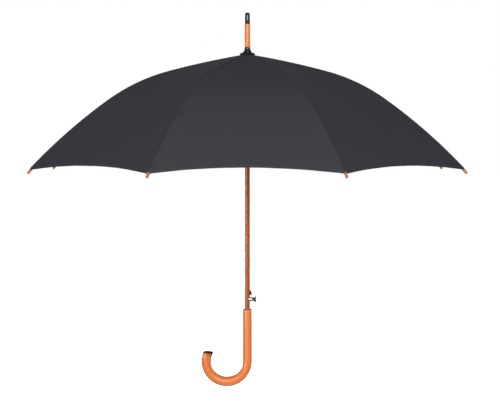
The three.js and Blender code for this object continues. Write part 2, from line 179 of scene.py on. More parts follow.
def wood_grain_group() -> EffectGroup:
    """Long grain: broad figure, fine streaks and dark pores running along the vector's Z."""
    group = EffectGroup(
        "wood_grain", {"Vector": VECTOR, "Width": FLOAT},
        {"Figure": FLOAT, "Streak": FLOAT, "Pores": FLOAT, "Height": FLOAT},
    )
    g = group.graph
    narrow = g.node("VectorMath", {0: group.entry["Vector"], 3: group.entry["Width"]}, operation="SCALE").outputs[0]
    figure = g.node("TexNoise", {"Vector": g.scaled(narrow, (1, 1, 0.06)), "Scale": 1.0, "Detail": 3.0})
    streak = g.node("TexNoise", {"Vector": g.scaled(narrow, (5, 5, 0.12)), "Scale": 1.0, "Detail": 4.0})
    pores = g.node("TexNoise", {"Vector": g.scaled(narrow, (14, 14, 0.5)), "Scale": 1.0, "Detail": 1.0})
    dots = g.ramp(pores.outputs[0], 0.60, 0.72)
    g.feed(group.exit["Figure"], g.ramp(figure.outputs[0], 0.3, 0.72))
    g.feed(group.exit["Streak"], g.ramp(streak.outputs[0], 0.32, 0.7))
    g.feed(group.exit["Pores"], dots)
    g.feed(group.exit["Height"], g.maths("SUBTRACT", streak.outputs[0], dots))
    return group


def weave_group() -> EffectGroup:
    """A plain weave on a flat cloth map in metres: thread height, and how uneven the threads are."""
    group = EffectGroup(
        "plain_weave", {"Vector": VECTOR, "Pitch": FLOAT}, {"Height": FLOAT, "Uneven": FLOAT},
    )
    g = group.graph
    parts = g.node("SeparateXYZ", {0: group.entry["Vector"]}).outputs
    turns = g.maths("DIVIDE", 2 * math.pi, group.entry["Pitch"])
    across = g.maths("SINE", g.maths("MULTIPLY", parts[0], turns))
    along = g.maths("SINE", g.maths("MULTIPLY", parts[1], turns))
    crossing = g.maths("MULTIPLY", across, along)
    slub = g.node("TexNoise", {"Vector": g.scaled(group.entry["Vector"], (900, 60, 1)), "Scale": 1.0, "Detail": 2.0})
    g.feed(group.exit["Height"], g.maths("MULTIPLY_ADD", crossing, 0.5, 0.5))
    g.feed(group.exit["Uneven"], slub.outputs[0])
    return group


def handling_group() -> EffectGroup:
    """Soft smudges and fine rubbing that use leaves on a surface, for its colour and its gloss."""
    group = EffectGroup(
        "handling", {"Vector": VECTOR, "Size": FLOAT}, {"Smudge": FLOAT, "Rub": FLOAT},
    )
    g = group.graph
    placed = g.node("VectorMath", {0: group.entry["Vector"], 3: group.entry["Size"]}, operation="SCALE").outputs[0]
    smudge = g.node("TexNoise", {"Vector": placed, "Scale": 1.0, "Detail": 3.0, "Distortion": 0.4})
    rub = g.node("TexNoise", {"Vector": g.scaled(placed, (14, 14, 3)), "Scale": 1.0, "Detail": 2.0})
    g.feed(group.exit["Smudge"], g.ramp(smudge.outputs[0], 0.35, 0.7))
    g.feed(group.exit["Rub"], g.ramp(rub.outputs[0], 0.45, 0.75))
    return group


GRAIN = wood_grain_group()
WEAVE = weave_group()
HANDLING = handling_group()


# ---------------------------------------------------------------- finishes


class Coordinates(Enum):
    """What a pattern is laid out on."""

    OBJECT = "object"
    GRAIN = "grain"
    CLOTH = "cloth"


def coordinates(graph: Graph, source: Coordinates) -> bpy.types.NodeSocket:
    """The vector a pattern reads: the object's own place, the wood's run, or the cloth's flat map."""
    if source is Coordinates.OBJECT:
        return graph.node("TexCoord").outputs["Object"]
    if source is Coordinates.GRAIN:
        return graph.node("Attribute", attribute_name="grain").outputs["Vector"]
    return graph.node("UVMap", uv_map="cloth").outputs["UV"]


@dataclass(frozen=True)
class Finish:
    """A surface finish. Its material is made once and shared."""

    name: str
    slot: str

    def material(self) -> bpy.types.Material:
        """The finish's material, made the first time it is asked for."""
        name = f"finish_{self.name}"
        found = bpy.data.materials.get(name)
        if found:
            return found
        made = bpy.data.materials.new(name)
        made.use_nodes = True
        graph = Graph(made.node_tree)
        shader = graph.node("BsdfPrincipled")
        out = graph.node("OutputMaterial")
        graph.tree.links.new(shader.outputs[0], out.inputs["Surface"])
        self.dress(graph, shader)
        return made

    def dress(self, graph: Graph, shader: bpy.types.Node) -> None:
        """Sets the shader up; each kind of finish has its own way."""
        raise NotImplementedError


@dataclass(frozen=True)
class VarnishedWood(Finish):
    """Stained wood under a satin varnish, with its grain along the piece."""

    light: Colour = (0.5, 0.3, 0.15)
    dark: Colour = (0.3, 0.15, 0.07)
    grain_width: float = 160.0
    source: Coordinates = Coordinates.OBJECT
    roughness: float = 0.36
    coat: float = 0.3
    stained: Colour | None = None

    def dress(self, graph: Graph, shader: bpy.types.Node) -> None:
        """Grain from the shared group, smudged gloss and a thin coat."""
        where = coordinates(graph, self.source)
        grain = GRAIN.place(graph, {"Vector": where, "Width": self.grain_width})
        hands = HANDLING.place(graph, {"Vector": where, "Size": 34.0})
        figured = graph.mix(graph.maths("MULTIPLY", grain["Figure"], 0.75), self.light, self.dark)
        deep = tuple(level * 0.62 for level in self.dark)
        streaked = graph.mix(graph.maths("MULTIPLY", grain["Streak"], 0.38), figured, self.dark)
        colour = graph.mix(graph.maths("MULTIPLY", grain["Pores"], 0.55), streaked, deep)
        if self.stained:
            stain = graph.node("Attribute", attribute_name="stain").outputs["Fac"]
            colour = graph.mix(stain, colour, self.stained)
        graph.feed(shader.inputs["Base Color"], colour)
        gloss = graph.maths("MULTIPLY_ADD", hands["Smudge"], 0.12, self.roughness - 0.06)
        graph.feed(shader.inputs["Roughness"], graph.maths("MULTIPLY_ADD", grain["Pores"], 0.15, gloss))
        bump = graph.node("Bump", {"Strength": 0.25, "Distance": 0.00012, "Height": grain["Height"]})
        graph.feed(shader.inputs["Normal"], bump.outputs[0])
        shader.inputs["Specular IOR Level"].default_value = 0.22
        shader.inputs["Coat Weight"].default_value = self.coat
        shader.inputs["Coat Roughness"].default_value = 0.12


@dataclass(frozen=True)
class Cloth(Finish):
    """Thin close-woven cloth with a soft sheen."""

    colour: Colour = (0.05, 0.05, 0.055)
    pitch: float = 0.0009

    def dress(self, graph: Graph, shader: bpy.types.Node) -> None:
        """Weave in the bump, slubs and dust in the colour."""
        where = coordinates(graph, Coordinates.CLOTH)
        weave = WEAVE.place(graph, {"Vector": where, "Pitch": self.pitch})
        hands = HANDLING.place(graph, {"Vector": coordinates(graph, Coordinates.OBJECT), "Size": 9.0})
        pale = tuple(level * 1.22 for level in self.colour)
        deep = tuple(level * 0.84 for level in self.colour)
        threads = graph.mix(weave["Uneven"], deep, pale)
        base = graph.mix(graph.maths("MULTIPLY", hands["Smudge"], 0.25), threads, self.colour)
        graph.feed(shader.inputs["Base Color"], base)
        graph.feed(shader.inputs["Roughness"], graph.maths("MULTIPLY_ADD", weave["Uneven"], 0.2, 0.66))
        bump = graph.node("Bump", {"Strength": 0.3, "Distance": 0.00008, "Height": weave["Height"]})
        graph.feed(shader.inputs["Normal"], bump.outputs[0])
        shader.inputs["Specular IOR Level"].default_value = 0.22
        shader.inputs["Sheen Weight"].default_value = 0.03
        shader.inputs["Sheen Roughness"].default_value = 0.45
        shader.inputs["Sheen Tint"].default_value = (0.8, 0.82, 0.9, 1)


@dataclass(frozen=True)
class Moulded(Finish):
    """Moulded plastic or nylon, with a faint orange-peel surface and rubbed gloss."""

    colour: Colour = (0.01, 0.01, 0.012)
    roughness: float = 0.3
    coat: float = 0.0

    def dress(self, graph: Graph, shader: bpy.types.Node) -> None:
        """Plain colour with slight rubbing, and a fine surface texture."""
        where = coordinates(graph, Coordinates.OBJECT)
        hands = HANDLING.place(graph, {"Vector": where, "Size": 55.0})
        rubbed = tuple(min(1.0, level * 1.7 + 0.004) for level in self.colour)
        wear = graph.maths("MULTIPLY", hands["Rub"], 0.35)
        graph.feed(shader.inputs["Base Color"], graph.mix(wear, self.colour, rubbed))
        graph.feed(shader.inputs["Roughness"], graph.maths("MULTIPLY_ADD", hands["Smudge"], 0.1, self.roughness - 0.05))
        peel = graph.node("TexNoise", {"Vector": where, "Scale": 900.0, "Detail": 1.0})
        bump = graph.node("Bump", {"Strength": 0.08, "Distance": 0.0001, "Height": peel.outputs[0]})
        graph.feed(shader.inputs["Normal"], bump.outputs[0])
        shader.inputs["Coat Weight"].default_value = self.coat
        shader.inputs["Coat Roughness"].default_value = 0.06


@dataclass(frozen=True)
class Metal(Finish):
    """Bare or painted metal, drawn along the piece."""

    colour: Colour = (0.6, 0.6, 0.62)
    metallic: float = 1.0
    roughness: float = 0.25

    def dress(self, graph: Graph, shader: bpy.types.Node) -> None:
        """Drawing marks in the gloss and bump, and light rubbing in the colour."""
        where = coordinates(graph, Coordinates.OBJECT)
        hands = HANDLING.place(graph, {"Vector": where, "Size": 70.0})
        bright = tuple(min(1.0, level * 1.25 + 0.01) for level in self.colour)
        wear = graph.maths("MULTIPLY", hands["Rub"], 0.5)
        graph.feed(shader.inputs["Base Color"], graph.mix(wear, self.colour, bright))
        drawn = graph.node("TexNoise", {"Vector": graph.scaled(where, (2600, 2600, 180)), "Scale": 1.0, "Detail": 2.0})
        rough = graph.maths("MULTIPLY_ADD", drawn.outputs[0], 0.14, self.roughness - 0.07)
        graph.feed(shader.inputs["Roughness"], graph.maths("MULTIPLY_ADD", hands["Smudge"], 0.08, rough))
        bump = graph.node("Bump", {"Strength": 0.1, "Distance": 0.00005, "Height": drawn.outputs[0]})
        graph.feed(shader.inputs["Normal"], bump.outputs[0])
        shader.inputs["Metallic"].default_value = self.metallic


SHAFT_WOOD = VarnishedWood("shaft_wood", "shaft_wood", srgb(180, 88, 33), srgb(150, 70, 26), 190.0)
HANDLE_WOOD = VarnishedWood(
    "handle_wood", "handle_wood", srgb(238, 139, 75), srgb(216, 113, 55), 120.0, Coordinates.GRAIN, 0.34, 0.6,
    srgb(112, 44, 30),
)
END_WOOD = VarnishedWood("end_wood", "dark_wood", srgb(84, 44, 30), srgb(48, 26, 20), 260.0, roughness=0.5, coat=0.1)
FERRULE_WOOD = VarnishedWood("ferrule_wood", "ferrule_wood", srgb(234, 152, 92), srgb(206, 116, 64), 210.0)
TIP_WOOD = VarnishedWood("tip_wood", "tip_wood", srgb(208, 128, 84), srgb(164, 86, 52), 320.0)
CANOPY_CLOTH = Cloth("canopy_cloth", "canopy_fabric", srgb(55, 55, 62))
SEAM_CLOTH = Cloth("seam_cloth", "canopy_fabric", srgb(50, 50, 57), 0.0007)
ROSETTE_CLOTH = Cloth("rosette_cloth", "canopy_fabric", srgb(28, 28, 32), 0.0007)
BLACK_NYLON = Moulded("black_nylon", "black_nylon", srgb(24, 24, 27), 0.42)
CROWN_GLOSS = Moulded("crown_gloss", "crown_black", srgb(30, 30, 34), 0.14, 0.6)
CAP_GLOSS = Moulded("cap_gloss", "cap_black", srgb(34, 30, 33), 0.22, 0.4)
BUTTON_GLOSS = Moulded("button_gloss", "button_black", srgb(26, 26, 29), 0.24, 0.3)
BLACK_STEEL = Metal("black_steel", "black_metal", srgb(40, 40, 44), 0.7, 0.4)
SPRING_STEEL = Metal("spring_steel", "spring_steel", srgb(168, 170, 176), 1.0, 0.26)
CHROME = Metal("chrome", "chrome", srgb(222, 224, 228), 1.0, 0.12)
THREAD = Moulded("black_thread", "canopy_fabric", srgb(28, 28, 32), 0.8)


# ---------------------------------------------------------------- the bench


class Bench:
    """The few ways in which meshes are made here, all with bmesh operators."""

    @staticmethod
    def spun(profile: Sequence[Point2], steps: int = 48) -> bmesh.types.BMesh:
        """Spins a (radius, height) profile about Z.

        Args:
            profile: the points; it closes on itself unless it starts on the axis.
            steps: how many steps the full turn has.

        Returns:
            A closed mesh with its faces outwards.
        """
        bm = bmesh.new()
        points = [bm.verts.new((r, 0, z)) for r, z in profile]
        edges = [bm.edges.new(pair) for pair in zip(points, points[1:])]
        if profile[0][0] > 0:
            edges.append(bm.edges.new((points[-1], points[0])))
        bmesh.ops.spin(
            bm, geom=points + edges, cent=(0, 0, 0), axis=(0, 0, 1), angle=2 * math.pi,
            steps=steps, use_merge=True,
        )
        return Bench.cleaned(bm)

    @staticmethod
    def cleaned(bm: bmesh.types.BMesh) -> bmesh.types.BMesh:
        """Merges doubled points and turns the faces outwards."""
        bmesh.ops.remove_doubles(bm, verts=bm.verts, dist=1e-7)
        bmesh.ops.dissolve_degenerate(bm, dist=1e-7, edges=bm.edges)
        bmesh.ops.recalc_face_normals(bm, faces=bm.faces)
        return bm

    @staticmethod
    def softened(bm: bmesh.types.BMesh, width: float, segments: int = 2, angle: float = 30) -> bmesh.types.BMesh:
        """Rounds every edge that turns by more than an angle in degrees."""
        limit = math.radians(angle)
        edges = [e for e in bm.edges if len(e.link_faces) == 2 and e.calc_face_angle(0) > limit]
        bmesh.ops.bevel(
            bm, geom=edges, offset=width, segments=segments, profile=0.5, affect="EDGES",
            material=-1, clamp_overlap=True,
        )
        return bm

    @staticmethod
    def swept(section: Sequence[Point2], frames: Sequence[Matrix]) -> bmesh.types.BMesh:
        """Extrudes a flat section from frame to frame; the section lies in each frame's XY plane."""
        bm = bmesh.new()
        face = bm.faces.new([bm.verts.new(frames[0] @ Vector((x, y, 0))) for x, y in section])
        for before, after in zip(frames, frames[1:]):
            grown = bmesh.ops.extrude_face_region(bm, geom=[face])["geom"]
            moved = [item for item in grown if isinstance(item, bmesh.types.BMVert)]
            bmesh.ops.transform(bm, matrix=after @ before.inverted(), verts=moved)
            if before is not frames[0]:
                bmesh.ops.delete(bm, geom=[face], context="FACES_ONLY")
            face = next(item for item in grown if isinstance(item, bmesh.types.BMFace))
        return Bench.cleaned(bm)

    @staticmethod
    def slab(outline: Sequence[Point2], width: float, soften: float) -> bmesh.types.BMesh:
        """A plate with its outline in the XZ plane, centred on Y, with rounded edges."""
        bm = bmesh.new()
        face = bm.faces.new([bm.verts.new((x, -width / 2, z)) for x, z in outline])
        grown = bmesh.ops.extrude_face_region(bm, geom=[face], use_keep_orig=True)["geom"]
        moved = [item for item in grown if isinstance(item, bmesh.types.BMVert)]
        bmesh.ops.translate(bm, vec=(0, width, 0), verts=moved)
        Bench.cleaned(bm)
        return Bench.softened(bm, soften) if soften else bm

    @staticmethod
    def joined(*parts: bmesh.types.BMesh) -> bmesh.types.BMesh:
        """Puts several meshes into the first."""
        whole = parts[0]
        for part in parts[1:]:
            data = bpy.data.meshes.new("part")
            part.to_mesh(data)
            part.free()
            whole.from_mesh(data)
            bpy.data.meshes.remove(data)
        return whole

    @staticmethod
    def placed(bm: bmesh.types.BMesh, matrix: Matrix) -> bmesh.types.BMesh:
        """Moves a mesh."""
        bmesh.ops.transform(bm, matrix=matrix, verts=bm.verts)
        return bm

    @staticmethod
    def carved(bm: bmesh.types.BMesh, *cutters: bmesh.types.BMesh) -> bmesh.types.BMesh:
        """Cuts closed meshes out of another one.

        Args:
            bm: the mesh to cut.
            cutters: what is cut away, together.

        Returns:
            A new mesh; the given ones are freed.
        """
        body = Bench.loose_object("carve_body", bm)
        tool = Bench.loose_object("carve_tool", Bench.joined(*cutters))
        cut = body.modifiers.new("cut", "BOOLEAN")
        cut.operation = "DIFFERENCE"
        cut.solver = "EXACT"
        cut.use_self = True
        cut.object = tool
        bpy.context.view_layer.update()
        result = bmesh.new()
        result.from_object(body, bpy.context.evaluated_depsgraph_get())
        for item in (body, tool):
            data = item.data
            bpy.data.objects.remove(item)
            bpy.data.meshes.remove(data)
        return Bench.cleaned(result)

    @staticmethod
    def loose_object(name: str, bm: bmesh.types.BMesh) -> bpy.types.Object:
        """An object in the scene that isn't a piece yet."""
        data = bpy.data.meshes.new(name)
        bm.to_mesh(data)
        bm.free()
        made = bpy.data.objects.new(name, data)
        bpy.context.scene.collection.objects.link(made)
        return made

    @staticmethod
    def box(low: Sequence[float], high: Sequence[float]) -> bmesh.types.BMesh:
        """A box between two corners, for cutting."""
        bm = bmesh.new()
        bmesh.ops.create_cube(bm, size=1)
        sides = [b - a for a, b in zip(low, high)]
        bmesh.ops.scale(bm, vec=sides, verts=bm.verts)
        bmesh.ops.translate(bm, vec=[(a + b) / 2 for a, b in zip(low, high)], verts=bm.verts)
        return bm

    @staticmethod
    def rod(start: Vector, end: Vector, radius: float, segments: int = 20) -> bmesh.types.BMesh:
        """A plain round rod between two points."""
        bm = bmesh.new()
        axis = end - start
        turn = axis.to_track_quat("Z", "Y").to_matrix().to_4x4()
        bmesh.ops.create_cone(
            bm, cap_ends=True, segments=segments, radius1=radius, radius2=radius, depth=axis.length,
            matrix=Matrix.Translation((start + end) / 2) @ turn,
        )
        return bm

    @staticmethod
    def circle(radius: float, sides: int) -> list[Point2]:
        """A round section."""
        return [
            (radius * math.cos(2 * math.pi * i / sides), radius * math.sin(2 * math.pi * i / sides))
            for i in range(sides)
        ]

    @staticmethod
    def helix(radius: float, low: float, high: float, turns: float, steps: int = 24) -> list[Matrix]:
        """Frames along a coil spring about Z."""
        count = round(turns * steps)
        rise = (high - low) / count
        frames = []
        for i in range(count + 1):
            angle = 2 * math.pi * i / steps
            place = Vector((radius * math.cos(angle), radius * math.sin(angle), low + rise * i))
            tangent = Vector((-math.sin(angle), math.cos(angle), rise * steps / (2 * math.pi * radius)))
            frames.append(facing(place, tangent, Vector((0, 0, 1))))
        return frames


def facing(place: Vector, forward: Vector, up: Vector) -> Matrix:
    """A frame at a place whose Z axis points forward and whose Y axis is nearest to up."""
    z = forward.normalized()
    x = up.cross(z).normalized()
    y = z.cross(x)
    turn = Matrix((x, y, z)).transposed().to_4x4()
    return Matrix.Translation(place) @ turn


@dataclass
class Piece:
    """A finished piece of the umbrella and the body it rides on, or None where it will span two."""

    name: str
    finish: Finish
    body: str | None
    replaces: Sequence[str] = ()
    sharp: float = 38.0

    def made_from(self, bm: bmesh.types.BMesh) -> bpy.types.Object:
        """Turns a mesh into the piece, dressed, riding on its body and standing for its CAD nodes."""
        limit = math.radians(self.sharp)
        for edge in bm.edges:
            edge.smooth = len(edge.link_faces) != 2 or edge.calc_face_angle(0) < limit
        for face in bm.faces:
            face.smooth = True
        made = Bench.loose_object(self.name, bm)
        made.data.materials.append(self.finish.material())
        if self.body:
            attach(made, self.body)
        if self.replaces:
            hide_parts(*self.replaces)
        LOG.info("%s: %d faces on %s", self.name, len(made.data.polygons), self.body or "two bodies")
        return made


# ---------------------------------------------------------------- the canopy's line


@dataclass(frozen=True)
class Arc:
    """A stretch of the line whose slope turns steadily, in degrees below horizontal."""

    length: float
    start: float
    end: float


@dataclass(frozen=True)
class BowLine:
    """The canopy's outer line over a rib."""

    crown_r: float = 10 * MM
    crown_z: float = 657.4 * MM
    arcs: tuple[Arc, ...] = (Arc(190 * MM, 10, 15), Arc(160 * MM, 15, 35), Arc(233.5 * MM, 35, 45.6))

    @property
    def length(self) -> float:
        """The line's length along the cloth."""
        return sum(arc.length for arc in self.arcs)

    def at(self, s: float, under: float = 0) -> tuple[float, float, float]:
        """A point on the line.

        Args:
            s: how far along the cloth; past the end the line runs on straight.
            under: how far beneath the cloth's outer face.

        Returns:
            Its radius and height, and the slope there in radians.
        """
        r, z, start, slope = self.crown_r, self.crown_z, 0.0, 0.0
        for arc in self.arcs:
            along = min(max(s - start, 0.0), arc.length)
            begin = math.radians(arc.start)
            bend = math.radians(arc.end - arc.start) / arc.length
            if along > 0 or start == 0:
                slope = begin + bend * along
                r += (math.sin(slope) - math.sin(begin)) / bend
                z += (math.cos(slope) - math.cos(begin)) / bend
            start += arc.length
        past = max(s - start, 0.0)
        r += past * math.cos(slope)
        z -= past * math.sin(slope)
        return r - under * math.sin(slope), z - under * math.cos(slope), slope

    def frame(self, s: float, under: float = 0) -> Matrix:
        """A frame on the line in the XZ plane: Z along the line, Y out of the cloth."""
        r, z, slope = self.at(s, under)
        forward = Vector((math.cos(slope), 0, -math.sin(slope)))
        out = Vector((math.sin(slope), 0, math.cos(slope)))
        return facing(Vector((r, 0, z)), forward, out)


LINE = BowLine()


# ---------------------------------------------------------------- canopy


@dataclass
class Canopy:
    """The cloth: eight panels that meet in one sheet, their seams over the ribs, hems and strap."""

    thickness: float = 0.6 * MM
    hem_reach: float = 5 * MM
    hem_dip: float = 17.5 * MM
    hem_turn: float = 9 * MM
    hem_fold: float = 0.7 * MM
    tip_half: float = 1.7 * MM
    sag: float = 2.6 * MM
    columns: int = 44
    rows: int = 96
    laps: int = 3
    folded_share: float = 0.25
    lap_length: float = 290 * MM
    lap_depth: float = 1.1 * MM
    lap_share: float = 0.95
    least_lap: float = 0.006

    def surface(self, s: float, share: float, under: float) -> Vector:
        """A point of the cloth over a rib in the XZ plane.

        Args:
            s: how far along the cloth from the crown.
            share: -1 and 1 at the middles of the gores on either side, 0 on the rib.
            under: how far beneath the outer face.

        Returns:
            The point.
        """
        r, z, slope = LINE.at(s, under)
        side = abs(share)
        chord = side * r * math.sin(HALF_SECTOR)
        tight = math.sin(math.pi * min(max(s / LINE.length, 0), 1)) ** 0.8
        drop = self.sag * tight * (1 - (1 - min(side, 1)) ** 2)
        x = r - chord * math.sin(HALF_SECTOR) - drop * math.sin(slope)
        y = math.copysign(chord * math.cos(HALF_SECTOR), share)
        return Vector((x, y, z - drop * math.cos(slope)))

    def hem_at(self, share: float) -> float:
        """Where the hem's edge is along the cloth: it hangs past the rib's end but for a notch at the tip."""
        side = abs(share)
        beside = side * LINE.at(LINE.length)[0] * math.sin(HALF_SECTOR)
        past_tip = min(max(beside / self.tip_half - 1, 0), 1)
        reach = self.hem_reach * past_tip - 0.3 * MM * (1 - past_tip)
        return LINE.length + reach - self.hem_dip * (2 * side - side * side) * past_tip

    def lap_at(self, s: float) -> float:
        """How far a panel runs on beneath its neighbour, as a share of its half width there.

        The lap is what keeps the canopy whole near the crown once its panels are gathered in.
        """
        return max(self.lap_share * (1 - s / self.lap_length), self.least_lap)

    def ripple(self, place: Vector, s: float, share: float) -> float:
        """How far the cloth stands off its even shape: puckers by the seams, pulls by the tips."""
        side = abs(share)
        free = min(1.0, 4 * side) * min(1.0, s / (60 * MM))
        broad = noise.noise(place * 9) * 1.1 * MM
        near_seam = math.exp(-side * 16) * side * 16
        pucker = noise.noise(Vector((s * 95, share * 7, 3.1))) * 0.55 * MM * near_seam
        to_hem = max(0.0, 1 - (self.hem_at(share) - s) / (55 * MM))
        hem_wave = noise.noise(place * 42) * 0.7 * MM * to_hem
        return free * (broad + hem_wave) + pucker

    def panel_mesh(self, rib: int) -> bmesh.types.BMesh:
        """The cloth over one rib, in place, with its hem turned under and a flat cloth map."""
        turn = Matrix.Rotation(azimuth(rib), 4, "Z")
        hem_rows = 7
        total = self.rows + hem_rows
        bm = bmesh.new()
        bmesh.ops.create_grid(bm, x_segments=self.columns + 2 * self.laps, y_segments=total, size=1)
        cloth = bm.loops.layers.uv.new("cloth")
        flat: dict[bmesh.types.BMVert, tuple[float, float]] = {}
        for vert in bm.verts:
            step = vert.co.x * (self.columns / 2 + self.laps)
            past = max(abs(step) - self.columns / 2, 0.0)
            share = self.column_share(math.copysign(abs(step) - past, step) * 2 / self.columns)
            row = (vert.co.y + 1) / 2 * total
            s, under = self.row_place(row, share)
            if past > 0.5:
                share += math.copysign(self.lap_at(s) * past / self.laps, share)
                under += self.lap_depth
            local = self.surface(s, share, under)
            width = share * LINE.at(s)[0] * math.sin(HALF_SECTOR)
            flat[vert] = (width, row / total * LINE.length)
            place = turn @ local
            slope = LINE.at(s)[2]
            gore = azimuth(rib) + math.copysign(HALF_SECTOR, share)
            lean = math.tan(slope) / math.cos(HALF_SECTOR)
            normal = Vector((lean * math.cos(gore), lean * math.sin(gore), 1)).normalized()
            vert.co = place + normal * self.ripple(place, s, share)
        for face in bm.faces:
            for loop in face.loops:
                loop[cloth].uv = flat[loop.vert]
        bmesh.ops.recalc_face_normals(bm, faces=bm.faces)
        if sum(face.normal.z for face in bm.faces) < 0:
            bmesh.ops.reverse_faces(bm, faces=bm.faces)
        bmesh.ops.solidify(bm, geom=bm.faces, thickness=self.thickness)
        return bm

    def column_share(self, across: float) -> float:
        """Spreads the panel's columns, with a narrow pair on each side of the rib for the tip's notch."""
        narrow = 2 * self.tip_half / (LINE.at(LINE.length)[0] * math.sin(HALF_SECTOR))
        step = abs(across) * self.columns / 2
        if step <= 2:
            share = narrow * step / 2
        else:
            share = narrow + (1 - narrow) * ((step - 2) / (self.columns / 2 - 2)) ** 1.15
        return math.copysign(share, across)

    def row_place(self, row: float, share: float) -> tuple[float, float]:
        """Where a row of the panel lies: down the cloth, then round the hem's fold and back under."""
        edge = self.hem_at(share) - self.hem_fold / 2
        if row <= self.rows:
            return edge * row / self.rows, 0.0
        past = row - self.rows
        if past <= 4:
            angle = math.pi * past / 4
            return edge + self.hem_fold / 2 * math.sin(angle), self.hem_fold * (1 - math.cos(angle))
        return edge - self.hem_turn * (past - 4) / 3, 2 * self.hem_fold

    def panel_area(self) -> float:
        """The flat area of one panel's cut cloth."""
        steps = 60
        run = LINE.length + self.hem_turn
        widths = [2 * LINE.at(run * (i + 0.5) / steps)[0] * math.sin(HALF_SECTOR) for i in range(steps)]
        return sum(widths) * run / steps

    def strip_mesh(self, start: float, end: float, half_width: float, above: float, thick: float,
                   rows: int) -> bmesh.types.BMesh:
        """A narrow strip on top of a seam, with its own cloth map.

        Args:
            start: where it starts along the cloth.
            end: where it ends.
            half_width: half its width.
            above: how high its lower face lies over the cloth's outer face.
            thick: its thickness.
            rows: how many rows of faces it has.

        Returns:
            The strip with its rib in the XZ plane.
        """
        bm = bmesh.new()
        bmesh.ops.create_grid(bm, x_segments=10, y_segments=rows, size=1)
        cloth = bm.loops.layers.uv.new("cloth")
        flat: dict[bmesh.types.BMVert, tuple[float, float]] = {}
        for vert in bm.verts:
            across, row = vert.co.x, (vert.co.y + 1) / 2
            s = start + (end - start) * row
            r = LINE.at(s)[0]
            share = across * half_width / (r * math.sin(HALF_SECTOR))
            flat[vert] = (across * half_width, s)
            crown = 0.25 * thick * (1 - across * across)
            vert.co = self.surface(s, share, -above - thick - crown)
        for face in bm.faces:
            for loop in face.loops:
                loop[cloth].uv = flat[loop.vert]
        bmesh.ops.recalc_face_normals(bm, faces=bm.faces)
        if sum(face.normal.z for face in bm.faces) < 0:
            bmesh.ops.reverse_faces(bm, faces=bm.faces)
        bmesh.ops.solidify(bm, geom=bm.faces, thickness=thick)
        return bm

    def build(self) -> None:
        widest = 2 * LINE.at(LINE.length)[0] * math.sin(HALF_SECTOR)
        for rib in range(1, RIBS + 1):
            body = f"rib_{rib}"
            turn = Matrix.Rotation(azimuth(rib), 4, "Z")
            sheet = Piece(f"cloth_panel_{rib}", CANOPY_CLOTH, body, [f"canopy_panel_{rib}"], 50).made_from(
                self.panel_mesh(rib))
            strip = self.strip_mesh(6 * MM, LINE.length - 1 * MM, 2.4 * MM, -0.15 * MM, 0.45 * MM, 120)
            seam = Piece(f"seam_{rib}", SEAM_CLOTH, body).made_from(Bench.placed(strip, turn))
            LINE.length + self.hem_turn
            self.panel_area()
            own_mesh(sheet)


@dataclass
class Strap:
    """The wrapping strap, lying along a seam at the back, with its press stud."""

    rib: int = 4
    start: float = 415 * MM
    end: float = 572 * MM
    half_width: float = 9 * MM
    thickness: float = 1.1 * MM
    lift: float = 0.55 * MM
    snap_at: float = 425 * MM
    snap_radius: float = 6 * MM

    def build(self, canopy: Canopy) -> None:
        """Makes the strap and its stud on the rib's body."""
        turn = Matrix.Rotation(azimuth(self.rib), 4, "Z")
        mesh = canopy.strip_mesh(self.start, self.end, self.half_width, self.lift, self.thickness, 40)
        body = f"rib_{self.rib}"
        strap = Piece("wrapping_strap", SEAM_CLOTH, body, ["tie_strap"]).made_from(Bench.placed(mesh, turn))
        r = self.snap_radius
        profile = [
            (0, 0), (r, 0), (r, 0.8 * MM), (r - 0.7 * MM, 1.3 * MM), (r - 1.6 * MM, 1.1 * MM),
            (r - 2.4 * MM, 1.9 * MM), (r - 4 * MM, 2.3 * MM), (0, 2.4 * MM),
        ]
        stud = Bench.softened(Bench.spun(profile, 40), 0.12 * MM)
        base = LINE.frame(self.snap_at, -self.lift - self.thickness - 0.1 * MM)
        upright = base @ Matrix.Rotation(-math.pi / 2, 4, "X")
        Piece("strap_stud", BUTTON_GLOSS, body, ["strap_snap"]).made_from(Bench.placed(stud, turn @ upright))


# ---------------------------------------------------------------- ribs and arms


